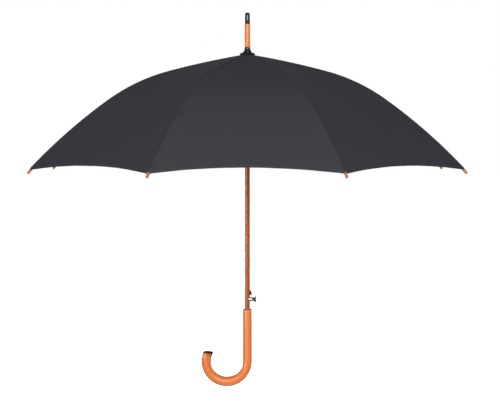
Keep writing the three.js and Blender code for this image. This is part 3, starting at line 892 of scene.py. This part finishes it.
@dataclass
class RibCage:
    """Ribs, wooden tips, stretchers and struts."""

    under: float = 3.6 * MM
    width: float = 2.4 * MM
    depth: float = 2.2 * MM
    hinge: Point2 = (10 * MM, 652.8 * MM)
    pivot_at: float = 245 * MM
    runner_hinge: Point2 = (11 * MM, 476 * MM)
    ring_arm: float = 95 * MM
    tip_radius: float = 3.1 * MM
    tip_length: float = 12.6 * MM
    gap: float = 0.3 * MM

    def pivot(self) -> Point2:
        """The stretcher's pivot on the rib."""
        r, z, _ = LINE.at(self.pivot_at, self.under)
        return r, z

    def knee(self) -> Point2:
        """The strut's pivot on the stretcher."""
        (r0, z0), (r1, z1) = self.runner_hinge, self.pivot()
        share = self.ring_arm / math.hypot(r1 - r0, z1 - z0)
        return r0 + (r1 - r0) * share, z0 + (z1 - z0) * share

    def ring_hinge(self) -> Point2:
        """The strut's end on the spring ring."""
        r, z = self.knee()
        return self.runner_hinge[0], z + math.sqrt(self.ring_arm ** 2 - (r - self.runner_hinge[0]) ** 2)

    def eye(self, at: Point2, outer: float, hole: float, width: float, y: float = 0) -> bmesh.types.BMesh:
        """A flat ring about a pivot that runs along Y."""
        half = width / 2
        ring = Bench.spun([(hole, -half), (outer, -half), (outer, half), (hole, half)], 24)
        Bench.softened(ring, 0.12 * MM, 1)
        place = Matrix.Translation((at[0], y, at[1])) @ Matrix.Rotation(math.pi / 2, 4, "X")
        return Bench.placed(ring, place)

    def rivet(self, at: Point2, half_length: float) -> bmesh.types.BMesh:
        """A round rivet along Y with two domed heads."""
        r, head = 0.85 * MM, 1.35 * MM
        profile = [
            (0, -half_length), (head * 0.6, -half_length + 0.08 * MM), (head, -half_length + 0.35 * MM),
            (r, -half_length + 0.4 * MM), (r, half_length - 0.4 * MM), (head, half_length - 0.35 * MM),
            (head * 0.6, half_length - 0.08 * MM), (0, half_length),
        ]
        place = Matrix.Translation((at[0], 0, at[1])) @ Matrix.Rotation(math.pi / 2, 4, "X")
        return Bench.placed(Bench.spun(profile, 16), place)

    def channel(self, width: float, depth: float, wall: float) -> list[Point2]:
        """The section of a folded steel channel, open at the bottom."""
        w, d = width / 2, depth / 2
        inner = w - wall
        chamfer = 0.35 * MM
        return [
            (-w, -d), (-inner, -d), (-inner, d - wall), (inner, d - wall), (inner, -d), (w, -d),
            (w, d - chamfer), (w - chamfer, d), (-w + chamfer, d), (-w, d - chamfer),
        ]

    def rib_mesh(self) -> bmesh.types.BMesh:
        """A rib: a steel channel along the bow, its eye at the notch and the stretcher's rivet."""
        end = LINE.length + 9 * MM
        count = 76
        frames = [LINE.frame(0.5 * MM + (end - 0.5 * MM) * i / count, self.under) for i in range(count + 1)]
        bar = Bench.swept(self.channel(self.width, self.depth, 0.5 * MM), frames)
        lug = self.eye(self.hinge, 2.0 * MM, 1.0 * MM, self.width)
        rivet = self.rivet(self.pivot(), self.width / 2 + self.gap + 0.8 * MM + 0.45 * MM)
        return Bench.joined(bar, lug, rivet)

    def thread_mesh(self) -> bmesh.types.BMesh:
        """The thread that ties the seam to the rib, a few turns at the stretcher's pivot and beyond."""
        turns = []
        for at in (self.pivot_at - 14 * MM, self.pivot_at + 130 * MM):
            for turn in range(4):
                frame_at = LINE.frame(at + turn * 0.62 * MM, self.under - 1.0 * MM)
                w, d = self.width / 2 + 0.42 * MM, 2.3 * MM
                corners = [(w, d), (w, -d), (-w, -d), (-w, d)]
                loop = [frame_at @ Vector((x, y, 0)) for x, y in corners]
                for a, b in zip(loop, loop[1:]):
                    turns.append(Bench.rod(a, b, 0.28 * MM, 6))
        return Bench.joined(*turns)

    def tip_mesh(self) -> bmesh.types.BMesh:
        """A turned wooden tip with a bead, a groove and a rounded end."""
        r, length = self.tip_radius, self.tip_length
        profile = [
            (1.9 * MM, 8 * MM), (1.9 * MM, 0.2 * MM), (2.2 * MM, 0), (r - 0.5 * MM, 0), (r, 0.5 * MM),
            (r, 1.9 * MM), (r - 0.35 * MM, 2.3 * MM), (r - 0.35 * MM, 2.7 * MM), (r, 3.1 * MM),
            (r, length - 1.6 * MM), (r - 0.35 * MM, length - 0.75 * MM), (r - 1.1 * MM, length - 0.15 * MM),
            (r - 1.9 * MM, length), (0, length), (0, 8 * MM),
        ]
        turned = Bench.spun([(0, 8 * MM), *profile[:-1]], 40)
        return Bench.placed(turned, LINE.frame(LINE.length + self.gap, self.under))

    def arm_mesh(self, start: Point2, end: Point2, rivet_at: float) -> bmesh.types.BMesh:
        """A flat steel arm: an eye at the start, a riveted fork at the end that straddles a bar.

        Args:
            start: the end that turns in a hub.
            end: the pivot in the fork.
            rivet_at: how far along a rivet of its own stands, or 0 for none.

        Returns:
            The arm in the XZ plane.
        """
        length = math.hypot(end[0] - start[0], end[1] - start[1])
        half = 1.15 * MM
        throat = 11 * MM
        ear_y = self.width / 2 + self.gap + 0.4 * MM
        frames = [
            facing(Vector((x, 0, 0)), Vector((1, 0, 0)), Vector((0, 0, 1)))
            for x in (1.6 * MM, length - throat - 2 * MM)
        ]
        bar = Bench.swept(self.channel(2.3 * MM, 2 * half, 0.5 * MM), frames)
        base = [(length - throat - 5 * MM, -half), (length - throat, -half), (length - throat, half),
                (length - throat - 5 * MM, half)]
        parts = [bar, self.eye((0, 0), 1.95 * MM, 1.0 * MM, 2.3 * MM),
                 Bench.slab(base, 2 * ear_y + 0.6 * MM, 0.25 * MM)]
        ear = [(length - throat - 4 * MM, -half), (length - 1.2 * MM, -half), (length, -half * 1.35),
               (length + half * 1.1, -half * 0.75), (length + half * 1.45, 0), (length + half * 1.1, half * 0.75),
               (length, half * 1.35), (length - 1.2 * MM, half), (length - throat - 4 * MM, half)]
        for side in (-1, 1):
            plate = Bench.slab(ear, 0.75 * MM, 0.15 * MM)
            parts.append(Bench.placed(plate, Matrix.Translation((0, side * ear_y, 0))))
        if rivet_at:
            parts.append(self.rivet((rivet_at, 0), self.width / 2 + self.gap + 1.2 * MM))
        whole = Bench.joined(*parts)
        angle = math.atan2(end[1] - start[1], end[0] - start[0])
        place = Matrix.Translation((start[0], 0, start[1])) @ Matrix.Rotation(-angle, 4, "Y")
        return Bench.placed(whole, place)

    def build(self) -> None:
        """Makes each kind of piece once and turns a copy to every rib."""
        kinds: list[tuple[str, Finish, str, str, bmesh.types.BMesh]] = [
            ("rib_bar", BLACK_STEEL, "rib", "rib", self.rib_mesh()),
            ("rib_thread", THREAD, "rib", "", self.thread_mesh()),
            ("wood_tip", TIP_WOOD, "rib", "rib_tip", self.tip_mesh()),
            ("stretcher_arm", BLACK_STEEL, "stretcher", "stretcher",
             self.arm_mesh(self.runner_hinge, self.pivot(), self.ring_arm)),
            ("strut_arm", BLACK_STEEL, "strut", "strut", self.arm_mesh(self.ring_hinge(), self.knee(), 0)),
        ]
        for name, finish, body, node, mesh in kinds:
            for rib in range(1, RIBS + 1):
                turned = Bench.placed(mesh.copy(), Matrix.Rotation(azimuth(rib), 4, "Z"))
                stands_for = [f"{node}_{rib}"] if node else []
                Piece(f"{name}_{rib}", finish, f"{body}_{rib}", stands_for).made_from(turned)
            mesh.free()


# ---------------------------------------------------------------- hubs and springs


@dataclass
class Hubs:
    """Top notch, runner, spring ring and the opening spring, all round the shaft."""

    cage: RibCage
    bore: float = 6.35 * MM
    slot_half: float = 1.6 * MM
    sleeve_radius: float = 7.75 * MM
    sleeve_length: float = 69.3 * MM
    catch_slot: float = 23 * MM

    def slots(self, start: float, low: float, high: float) -> list[bmesh.types.BMesh]:
        """Cutting boxes for the radial slots of a hub."""
        boxes = []
        for rib in range(1, RIBS + 1):
            slot = Bench.box((start, -self.slot_half, low), (20 * MM, self.slot_half, high))
            boxes.append(Bench.placed(slot, Matrix.Rotation(azimuth(rib), 4, "Z")))
        return boxes

    def hub(self, profile: Sequence[Point2], start: float, low: float, high: float,
            *more: bmesh.types.BMesh) -> bmesh.types.BMesh:
        """A turned hub with its slots, and anything more, cut out and its edges softened."""
        body = Bench.spun(profile, 64)
        cut = Bench.carved(body, *self.slots(start, low, high), *more)
        return Bench.softened(cut, 0.14 * MM, 1, 40)

    def top_notch(self) -> None:
        """The slotted notch that the ribs hang from, and its wire."""
        r, z = self.cage.hinge
        mm = MM
        profile = [
            (self.bore, z - 4.3 * mm), (13 * mm, z - 4.3 * mm), (13.5 * mm, z - 3.5 * mm),
            (13.5 * mm, z + 1.6 * mm), (12.6 * mm, z + 2.2 * mm), (self.bore, z + 2.4 * mm),
        ]
        mesh = self.hub(profile, r - 2.4 * mm, z - 6 * mm, z + 4 * mm)
        Piece("notch_hub", BLACK_NYLON, "shaft", ["top_notch"]).made_from(mesh)
        frames = [
            facing(Vector((r * math.cos(a), r * math.sin(a), z)), Vector((-math.sin(a), math.cos(a), 0)),
                   Vector((0, 0, 1)))
            for a in (2 * math.pi * i / 64 for i in range(65))
        ]
        wire = Bench.swept(Bench.circle(0.65 * mm, 10), frames)
        Piece("notch_wire", SPRING_STEEL, "shaft", ["top_notch_wire"]).made_from(wire)

    def runner(self) -> None:
        """The runner: a slotted hub over a ringed sleeve with a slot at its foot."""
        r, z = self.cage.runner_hinge
        mm = MM
        foot = z - self.sleeve_length
        sleeve = self.sleeve_radius
        profile = [
            (self.bore, foot), (sleeve - 0.3 * mm, foot), (sleeve, foot + 0.4 * mm), (sleeve, foot + 3 * mm),
            (sleeve - 0.4 * mm, foot + 3.4 * mm), (sleeve - 0.4 * mm, z - 14 * mm), (sleeve, z - 13.6 * mm),
            (sleeve, z - 6.5 * mm), (13 * mm, z - 4.6 * mm), (13.5 * mm, z - 3.8 * mm), (13.5 * mm, z + 3.4 * mm),
            (12.6 * mm, z + 4.2 * mm), (self.bore, z + 4.8 * mm),
        ]
        cut = Bench.box((0, -2.2 * mm, foot - mm), (12 * mm, 2.2 * mm, foot + self.catch_slot))
        mesh = self.hub(profile, r - 2.4 * mm, z - 8 * mm, z + 6 * mm, cut)
        Piece("runner_hub", BLACK_NYLON, "runner", ["runner"]).made_from(mesh)

    def spring_ring(self) -> None:
        """The small slotted ring that the struts carry."""
        r, z = self.cage.ring_hinge()
        mm = MM
        profile = [
            (self.bore, z - 4 * mm), (12.4 * mm, z - 4 * mm), (13 * mm, z - 3.4 * mm), (13 * mm, z + 3.2 * mm),
            (12.2 * mm, z + 3.9 * mm), (self.bore, z + 3.9 * mm),
        ]
        mesh = self.hub(profile, r - 2.4 * mm, z - 6 * mm, z + 6 * mm)
        Piece("ring_hub", BLACK_NYLON, "spring_ring", ["spring_ring"]).made_from(mesh)

    def opening_spring(self) -> None:
        """The coil spring between the runner and the ring."""
        low = self.cage.runner_hinge[1] + 5.65 * MM
        high = self.cage.ring_hinge()[1] - 4.85 * MM
        mesh = Bench.swept(Bench.circle(0.5 * MM, 10), Bench.helix(7.75 * MM, low, high, 17))
        coil = Piece("opening_coil", SPRING_STEEL, None, ["opening_spring"]).made_from(mesh)
        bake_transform(coil)

    def build(self) -> None:
        """Makes the four of them."""
        self.top_notch()
        self.runner()
        self.spring_ring()
        self.opening_spring()


# ---------------------------------------------------------------- shaft and crown


@dataclass
class Stick:
    """The shaft, and the crown cap, rosette, wooden spike and cap at its top."""

    radius: float = 6 * MM
    bottom: float = 15 * MM
    top: float = 674.4 * MM
    catch_slot: tuple[float, float] = (62.8 * MM, 113 * MM)
    slot_half: float = 1.6 * MM
    button_z: float = 84 * MM

    def shaft(self) -> None:
        """The round wooden shaft with the catch's slot and the button's pocket."""
        r = self.radius
        count = 40
        low, high = self.bottom, self.top
        rings = [(r, low + (high - low) * i / count) for i in range(count + 1)]
        rod = Bench.spun([(0, low), *rings, (0, high)], 56)
        slot = Bench.box(
            (-4.3 * MM, -self.slot_half, self.catch_slot[0]), (r + 2 * MM, self.slot_half, self.catch_slot[1]))
        axis = Vector((1, 0, 0))
        level = Vector((0, 0, self.button_z))
        pocket = Bench.rod(level + axis * 3 * MM, level + axis * (r + 2 * MM), 5 * MM, 40)
        stem_hole = Bench.rod(level - axis * 0.1 * MM, level + axis * 3.4 * MM, 2.5 * MM, 32)
        cut = Bench.carved(rod, slot, pocket, stem_hole)
        Piece("wooden_shaft", SHAFT_WOOD, "shaft", ["shaft"]).made_from(cut)

    def spike(self) -> None:
        """The wooden spike above the crown, and its black end cap."""
        mm = MM
        wood = Bench.spun([
            (3.8 * mm, 695 * mm), (3.8 * mm, 674.7 * mm), (6.8 * mm, 674.7 * mm), (7.1 * mm, 675.1 * mm),
            (7.08 * mm, 688 * mm), (7.04 * mm, 700 * mm), (7 * mm, 714 * mm), (6.95 * mm, 728.8 * mm),
            (6.6 * mm, 729.2 * mm), (3.2 * mm, 729.2 * mm), (3.2 * mm, 735.6 * mm), (1 * mm, 735.6 * mm),
            (1 * mm, 695 * mm),
        ], 48)
        Piece("spike_wood", FERRULE_WOOD, "shaft", ["top_spike"]).made_from(wood)
        cap = Bench.spun([
            (3.6 * mm, 739.6 * mm), (3.6 * mm, 729.5 * mm), (6.1 * mm, 729.5 * mm), (6.4 * mm, 729.9 * mm),
            (6.4 * mm, 731.2 * mm), (6.25 * mm, 731.5 * mm), (6.35 * mm, 742.6 * mm), (6.25 * mm, 747.6 * mm),
            (6 * mm, 750.6 * mm), (5.4 * mm, 753 * mm), (4.4 * mm, 754.7 * mm), (3.2 * mm, 755.4 * mm),
            (2.2 * mm, 755.55 * mm), (0, 755.6 * mm), (0, 739.6 * mm),
        ], 48)
        Piece("spike_end", CAP_GLOSS, "shaft", ["spike_cap"], 50).made_from(cap)

    def crown(self) -> None:
        """The flared glossy cap and the gathered cloth rosette beneath it."""
        mm = MM
        flare = Bench.spun([
            (6.35 * mm, 662.7 * mm), (10.2 * mm, 662.7 * mm), (10.6 * mm, 663.1 * mm), (10.3 * mm, 663.7 * mm),
            (9.5 * mm, 664.8 * mm), (8.7 * mm, 666.4 * mm), (8.05 * mm, 668.2 * mm), (7.6 * mm, 670 * mm),
            (7.45 * mm, 671.6 * mm), (7.35 * mm, 673.8 * mm), (7.1 * mm, 674.4 * mm), (6.35 * mm, 674.4 * mm),
        ], 64)
        Piece("crown_flare", CROWN_GLOSS, "shaft", ["crown_cap"], 60).made_from(flare)
        ruffle = self.rosette_mesh()
        rosette = Piece("cloth_rosette", ROSETTE_CLOTH, "shaft", ["crown_rosette"], 70).made_from(ruffle)

    def rosette_mesh(self) -> bmesh.types.BMesh:
        """A thick disc of gathered cloth whose rim and top are pleated."""
        mm = MM
        profile = [
            (6.6 * mm, 658 * mm), (12 * mm, 657.5 * mm), (16.2 * mm, 656.75 * mm), (17 * mm, 657.4 * mm),
            (17.25 * mm, 658.6 * mm), (17.2 * mm, 659.8 * mm), (16.8 * mm, 660.8 * mm), (15.5 * mm, 661.4 * mm),
            (13 * mm, 661.9 * mm), (10.8 * mm, 662.2 * mm), (6.6 * mm, 662.3 * mm),
        ]
        bm = Bench.spun(profile, 160)
        for vert in bm.verts:
            r = math.hypot(vert.co.x, vert.co.y)
            around = math.atan2(vert.co.y, vert.co.x)
            reach = max(0.0, (r - 9.5 * mm) / (8 * mm))
            fold = math.cos(26 * around + 0.8 * noise.noise(Vector((around * 3, 0, 0))))
            share = 1 + 0.022 * reach * fold
            lift = 0.28 * mm * reach * fold if vert.co.z > 660 * mm else 0
            vert.co = Vector((vert.co.x * share, vert.co.y * share, vert.co.z + lift))
        cloth = bm.loops.layers.uv.new("cloth")
        for face in bm.faces:
            for loop in face.loops:
                loop[cloth].uv = (loop.vert.co.x, loop.vert.co.y)
        return bm

    def build(self) -> None:
        """Makes the shaft and everything on its top."""
        self.shaft()
        self.spike()
        self.crown()


@dataclass
class Crook:
    """The bent wooden handle, which grows a little thicker round the bend, and its dark end."""

    radius: float = 10.55 * MM
    end_radius: float = 11.35 * MM
    top: float = 60.5 * MM
    bend_z: float = -62.75 * MM
    bend_radius: float = 48.6 * MM
    sweep: float = 204.5
    level_from: float = 184.0
    sides: int = 56

    @property
    def straight(self) -> float:
        """How long the straight part is."""
        return self.top - self.bend_z

    @property
    def length(self) -> float:
        """The centre line's length."""
        return self.straight + self.bend_radius * math.radians(self.sweep)

    def bend_angle(self, along: float) -> float:
        """How far round the bend a place on the centre line is."""
        return max(along - self.straight, 0.0) / self.bend_radius

    def cut_angle(self, along: float) -> float:
        """The slant of the section there: square to the bar, but turning level towards the end."""
        angle = self.bend_angle(along)
        start, end = math.radians(self.level_from), math.radians(self.sweep)
        if angle <= start:
            return angle
        share = (angle - start) / (end - start)
        return angle + (math.pi - end) * share * share * (3 - 2 * share) * 0.9

    def section_frame(self, along: float) -> Matrix:
        """Where a section of radius 1 lies, a distance down the bar: its plane, place and size."""
        angle, cut = self.bend_angle(along), self.cut_angle(along)
        reach = self.bend_radius
        place = Vector((reach * (math.cos(angle) - 1), 0, min(self.top - along, 0)))
        place.z = max(self.top - along, self.bend_z) - reach * math.sin(angle)
        forward = Vector((-math.sin(cut), 0, -math.cos(cut)))
        frame_at = facing(place, forward, Vector((math.cos(cut), 0, -math.sin(cut))))
        grown = min(angle / (math.pi / 2), 1.0)
        radius = self.radius + (self.end_radius - self.radius) * grown * grown * (3 - 2 * grown)
        return frame_at @ Matrix.Diagonal((radius, radius / math.cos(angle - cut), 1, 1))

    def handle_mesh(self) -> bmesh.types.BMesh:
        """The handle: a round bar down and round the bend, with a rounded lip round the shaft's socket."""
        start = 1.5 * MM
        stops = [start + (self.length - start) * i / 110 for i in range(111)]
        bm = Bench.swept(Bench.circle(1, self.sides), [self.section_frame(along) for along in stops])
        mouth = max((f for f in bm.faces if len(f.verts) == self.sides), key=lambda f: f.calc_center_median().z)
        for inset, rise in ((0.25, 0.7), (0.55, 0.5), (0.9, 0.3)):
            bmesh.ops.inset_region(bm, faces=[mouth], thickness=inset * MM, depth=0, use_even_offset=True)
            bmesh.ops.translate(bm, vec=(0, 0, rise * MM), verts=mouth.verts)
        bmesh.ops.inset_region(bm, faces=[mouth], thickness=2.3 * MM, depth=0, use_even_offset=True)
        bmesh.ops.inset_region(bm, faces=[mouth], thickness=0.2 * MM, depth=0, use_even_offset=True)
        bmesh.ops.translate(bm, vec=(0, 0, -4 * MM), verts=mouth.verts)
        return bm

    def mark_grain(self, bm: bmesh.types.BMesh) -> None:
        """Stores where each point lies in the bar, for the grain, and how darkly its ends are stained."""
        grain = bm.verts.layers.float_vector.new("grain")
        stain = bm.verts.layers.float.new("stain")
        for vert in bm.verts:
            along = self.top - vert.co.z
            if vert.co.z < self.bend_z or vert.co.x < -2 * self.radius:
                around = math.atan2(self.bend_z - vert.co.z, vert.co.x + self.bend_radius)
                along = self.straight + (around % (2 * math.pi)) * self.bend_radius
            angle = self.bend_angle(along)
            out = Vector((math.cos(angle), 0, -math.sin(angle)))
            centre = Vector((-self.bend_radius, 0, max(self.top - along, self.bend_z))) + out * self.bend_radius
            vert[grain] = ((vert.co - centre).dot(out), vert.co.y, along)
            by_top = 1 - (self.top - vert.co.z) / (1.6 * MM)
            by_end = 1 - (self.length - along) / (9 * MM)
            vert[stain] = min(max(by_top, 0.75 * by_end, 0), 1)

    def plug_mesh(self) -> bmesh.types.BMesh:
        """The dark rounded plug on the crook's end."""
        profile = [
            (0, 0.15), (0.97, 0.15), (1, 0.5), (0.985, 1.0), (0.94, 1.6), (0.86, 2.2), (0.74, 2.7), (0.55, 3.05),
            (0.3, 3.25), (0, 3.3),
        ]
        plug = Bench.spun([(r, h * MM) for r, h in profile], 56)
        return Bench.placed(plug, self.section_frame(self.length))

    def build(self) -> None:
        """Makes the handle and its end plug."""
        handle = self.handle_mesh()
        self.mark_grain(handle)
        Piece("wooden_crook", HANDLE_WOOD, "shaft", ["crook_handle"], 55).made_from(handle)
        Piece("crook_end", END_WOOD, "shaft", ["crook_end_cap"], 50).made_from(self.plug_mesh())


# ---------------------------------------------------------------- catch and button


@dataclass
class Opener:
    """The catch in the shaft's slot and the push button that frees it."""

    level: float = 84 * MM
    pivot: Point2 = (1 * MM, 68 * MM)

    def on_axis(self, bm: bmesh.types.BMesh) -> bmesh.types.BMesh:
        """Turns a mesh made about Z to lie along X at the button's height."""
        return Bench.placed(bm, Matrix.Translation((0, 0, self.level)) @ Matrix.Rotation(math.pi / 2, 4, "Y"))

    def catch(self) -> None:
        """The flat steel catch with its rounded hump, and its pin."""
        mm = MM
        outline = [
            (-0.8, 64.6), (2.8, 64.6), (2.8, 89.6), (4.6, 92.4), (6.6, 93.5), (8.4, 94.2), (9.6, 95.1), (10.2, 96.3),
            (10.3, 97.5), (10, 98.9), (9.4, 100.6), (8.5, 102.5), (7.4, 104.6), (6.3, 106.5), (5.5, 107.7),
            (5.3, 111.4), (2.6, 111.4), (2.6, 97), (-0.4, 89.6),
        ]
        lever = Bench.slab([(x * mm, z * mm) for x, z in outline], 2.3 * mm, 0.3 * mm)
        Piece("catch_plate", BLACK_STEEL, "catch", ["catch_lever"]).made_from(lever)
        x, z = self.pivot
        head = [(0, -5.6 * mm), (0.8 * mm, -5.6 * mm), (1 * mm, -5.3 * mm), (1 * mm, 5.3 * mm), (0.8 * mm, 5.6 * mm),
                (0, 5.6 * mm)]
        place = Matrix.Translation((x, 0, z)) @ Matrix.Rotation(math.pi / 2, 4, "X")
        Piece("pivot_pin", SPRING_STEEL, "shaft", ["catch_pin"]).made_from(Bench.placed(Bench.spun(head, 24), place))

    def button(self) -> None:
        """The bush, the button with its stem, and the small spring between them."""
        mm = MM
        bush = [
            (2.3, 3.3), (4.7, 3.3), (4.7, 7.4), (4.45, 7.7), (4.45, 8.2), (4.7, 8.5), (4.7, 12.2), (4.45, 12.6),
            (4.25, 12.6), (4.1, 12.4), (4.1, 6.5), (2.3, 6.5),
        ]
        mesh = self.on_axis(Bench.spun([(r * mm, h * mm) for r, h in bush], 44))
        Piece("bright_bush", CHROME, "shaft", ["button_bush"]).made_from(mesh)
        knob = [
            (0, 3.1), (2, 3.1), (2, 14.2), (3.0, 14.4), (3.0, 12.2), (3.75, 12.2), (3.8, 14.6), (4.1, 15.4),
            (4.7, 16.2), (5.5, 16.8), (6.2, 17.2), (6.5, 17.7), (6.5, 19.5), (6.25, 20.0), (5.7, 20.25), (4.2, 20.3),
            (2, 20.15), (0, 20.1),
        ]
        mesh = self.on_axis(Bench.spun([(r * mm, h * mm) for r, h in knob], 44))
        Piece("push_button", BUTTON_GLOSS, "button", ["release_button"]).made_from(mesh)
        coil = Bench.swept(Bench.circle(0.3 * mm, 8), Bench.helix(2.5 * mm, 7.0 * mm, 14.0 * mm, 5))
        spring = Piece("button_coil", SPRING_STEEL, "button", ["button_spring"]).made_from(self.on_axis(coil))
        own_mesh(spring)

    def build(self) -> None:
        """Makes the catch and the button."""
        self.catch()
        self.button()


# ---------------------------------------------------------------- studio


class LightUse(Enum):
    """What a studio light is there for."""

    BOTH = "both"
    SHAPE = "shape"
    GLOSS = "gloss"


@dataclass
class Studio:
    """Pale floor, soft lights and the camera."""

    distance: float = 3.280
    camera_x: float = 6.1 * MM
    camera_z: float = 0.480
    pitch: float = 2.99
    lens: float = 100.7
    floor_z: float = -0.62
    room: float = 0.09
    lit: Point3 = (0, 0, 0.35)
    floor_seen: Colour = (0.8, 0.8, 0.8)
    floor_mirrored: Colour = (0.28, 0.28, 0.28)

    def camera(self) -> None:
        """A long lens a little below the canopy's shoulder, looking slightly down."""
        data = bpy.data.cameras.new("camera")
        data.lens = self.lens
        data.sensor_width = 36
        made = bpy.data.objects.new("camera", data)
        made.location = (self.camera_x, -self.distance, self.camera_z)
        made.rotation_euler = (math.radians(90 - self.pitch), 0, 0)
        bpy.context.scene.collection.objects.link(made)
        bpy.context.scene.camera = made

    def floor(self) -> None:
        """A wide pale floor that runs into the white beyond it, dimmer in reflections and clear from beneath."""
        bm = bmesh.new()
        bmesh.ops.create_grid(bm, x_segments=2, y_segments=2, size=30)
        bmesh.ops.translate(bm, vec=(0, 0, self.floor_z), verts=bm.verts)
        made = Bench.loose_object("floor", bm)
        material = bpy.data.materials.new("floor")
        material.use_nodes = True
        graph = Graph(material.node_tree)
        seen = graph.node("LightPath").outputs["Is Camera Ray"]
        shade = graph.mix(seen, self.floor_mirrored, self.floor_seen)
        shader = graph.node("BsdfPrincipled", {
            "Base Color": shade, "Roughness": 0.9, "Emission Color": (1.0, 1.0, 1.0),
            "Emission Strength": seen, "Specular IOR Level": 0.1,
        })
        out = graph.node("OutputMaterial")
        behind = graph.node("NewGeometry").outputs["Backfacing"]
        clear = graph.node("BsdfTransparent")
        both = graph.node("MixShader", {0: behind, 1: shader.outputs[0], 2: clear.outputs[0]})
        graph.tree.links.new(both.outputs[0], out.inputs["Surface"])
        made.data.materials.append(material)

    def light(self, name: str, place: Point3, size: Point2, power: float, use: LightUse = LightUse.BOTH) -> None:
        """A soft light aimed at the umbrella.

        Args:
            name: its name.
            place: where it stands.
            size: its width and height.
            power: its power in watts.
            use: whether it shapes the piece, only shines in its gloss, or both.
        """
        data = bpy.data.lights.new(name, "AREA")
        data.shape = "RECTANGLE"
        data.size, data.size_y = size
        data.energy = power
        made = bpy.data.objects.new(name, data)
        made.location = place
        aim = Vector(self.lit) - Vector(place)
        made.rotation_euler = aim.to_track_quat("-Z", "Y").to_euler()
        made.visible_camera = False
        made.visible_glossy = use is not LightUse.SHAPE
        made.visible_diffuse = use is not LightUse.GLOSS
        bpy.context.scene.collection.objects.link(made)

    def sky(self) -> None:
        """White behind the umbrella, and a dim grey room all round it for its reflections."""
        world = bpy.data.worlds.new("studio")
        bpy.context.scene.world = world
        world.use_nodes = True
        graph = Graph(world.node_tree)
        seen = graph.node("LightPath").outputs["Is Camera Ray"]
        strength = graph.maths("MULTIPLY_ADD", seen, 1 - self.room, self.room)
        backdrop = graph.node("Background", {"Color": (1.0, 1.0, 1.0), "Strength": strength})
        out = graph.node("OutputWorld")
        graph.tree.links.new(backdrop.outputs[0], out.inputs["Surface"])

    def build(self) -> None:
        """Sets the camera, the sky, the floor and the soft lights."""
        self.camera()
        self.sky()
        bpy.context.scene.view_settings.view_transform = "Standard"
        self.floor()
        self.light("key", (0.05, -4.5, 0.6), (1.5, 2.4), 234, LightUse.SHAPE)
        self.light("side", (-3.6, -3.0, -0.05), (1.7, 1.05), 90, LightUse.GLOSS)
        self.light("high", (0, -4.4, 1.5), (3.8, 1.1), 107, LightUse.GLOSS)
        self.light("top", (0.2, -0.8, 3.4), (2.4, 2.0), 8)
        self.light("back_left", (-2.4, 3.9, 0.6), (1.8, 2.2), 100)
        self.light("back_right", (2.6, 3.7, 0.5), (1.8, 2.2), 75)


# ---------------------------------------------------------------- the umbrella


def main() -> None:
    """Builds the studio and the umbrella in order."""
    logging.basicConfig(level=logging.INFO, format="%(name)s %(message)s")
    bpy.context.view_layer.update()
    Studio().build()
    canopy = Canopy()
    cage = RibCage()
    cage.build()
    Hubs(cage).build()
    Stick().build()
    Crook().build()
    Opener().build()
    canopy.build()
    Strap().build(canopy)


if __name__ == "__main__":
    main()
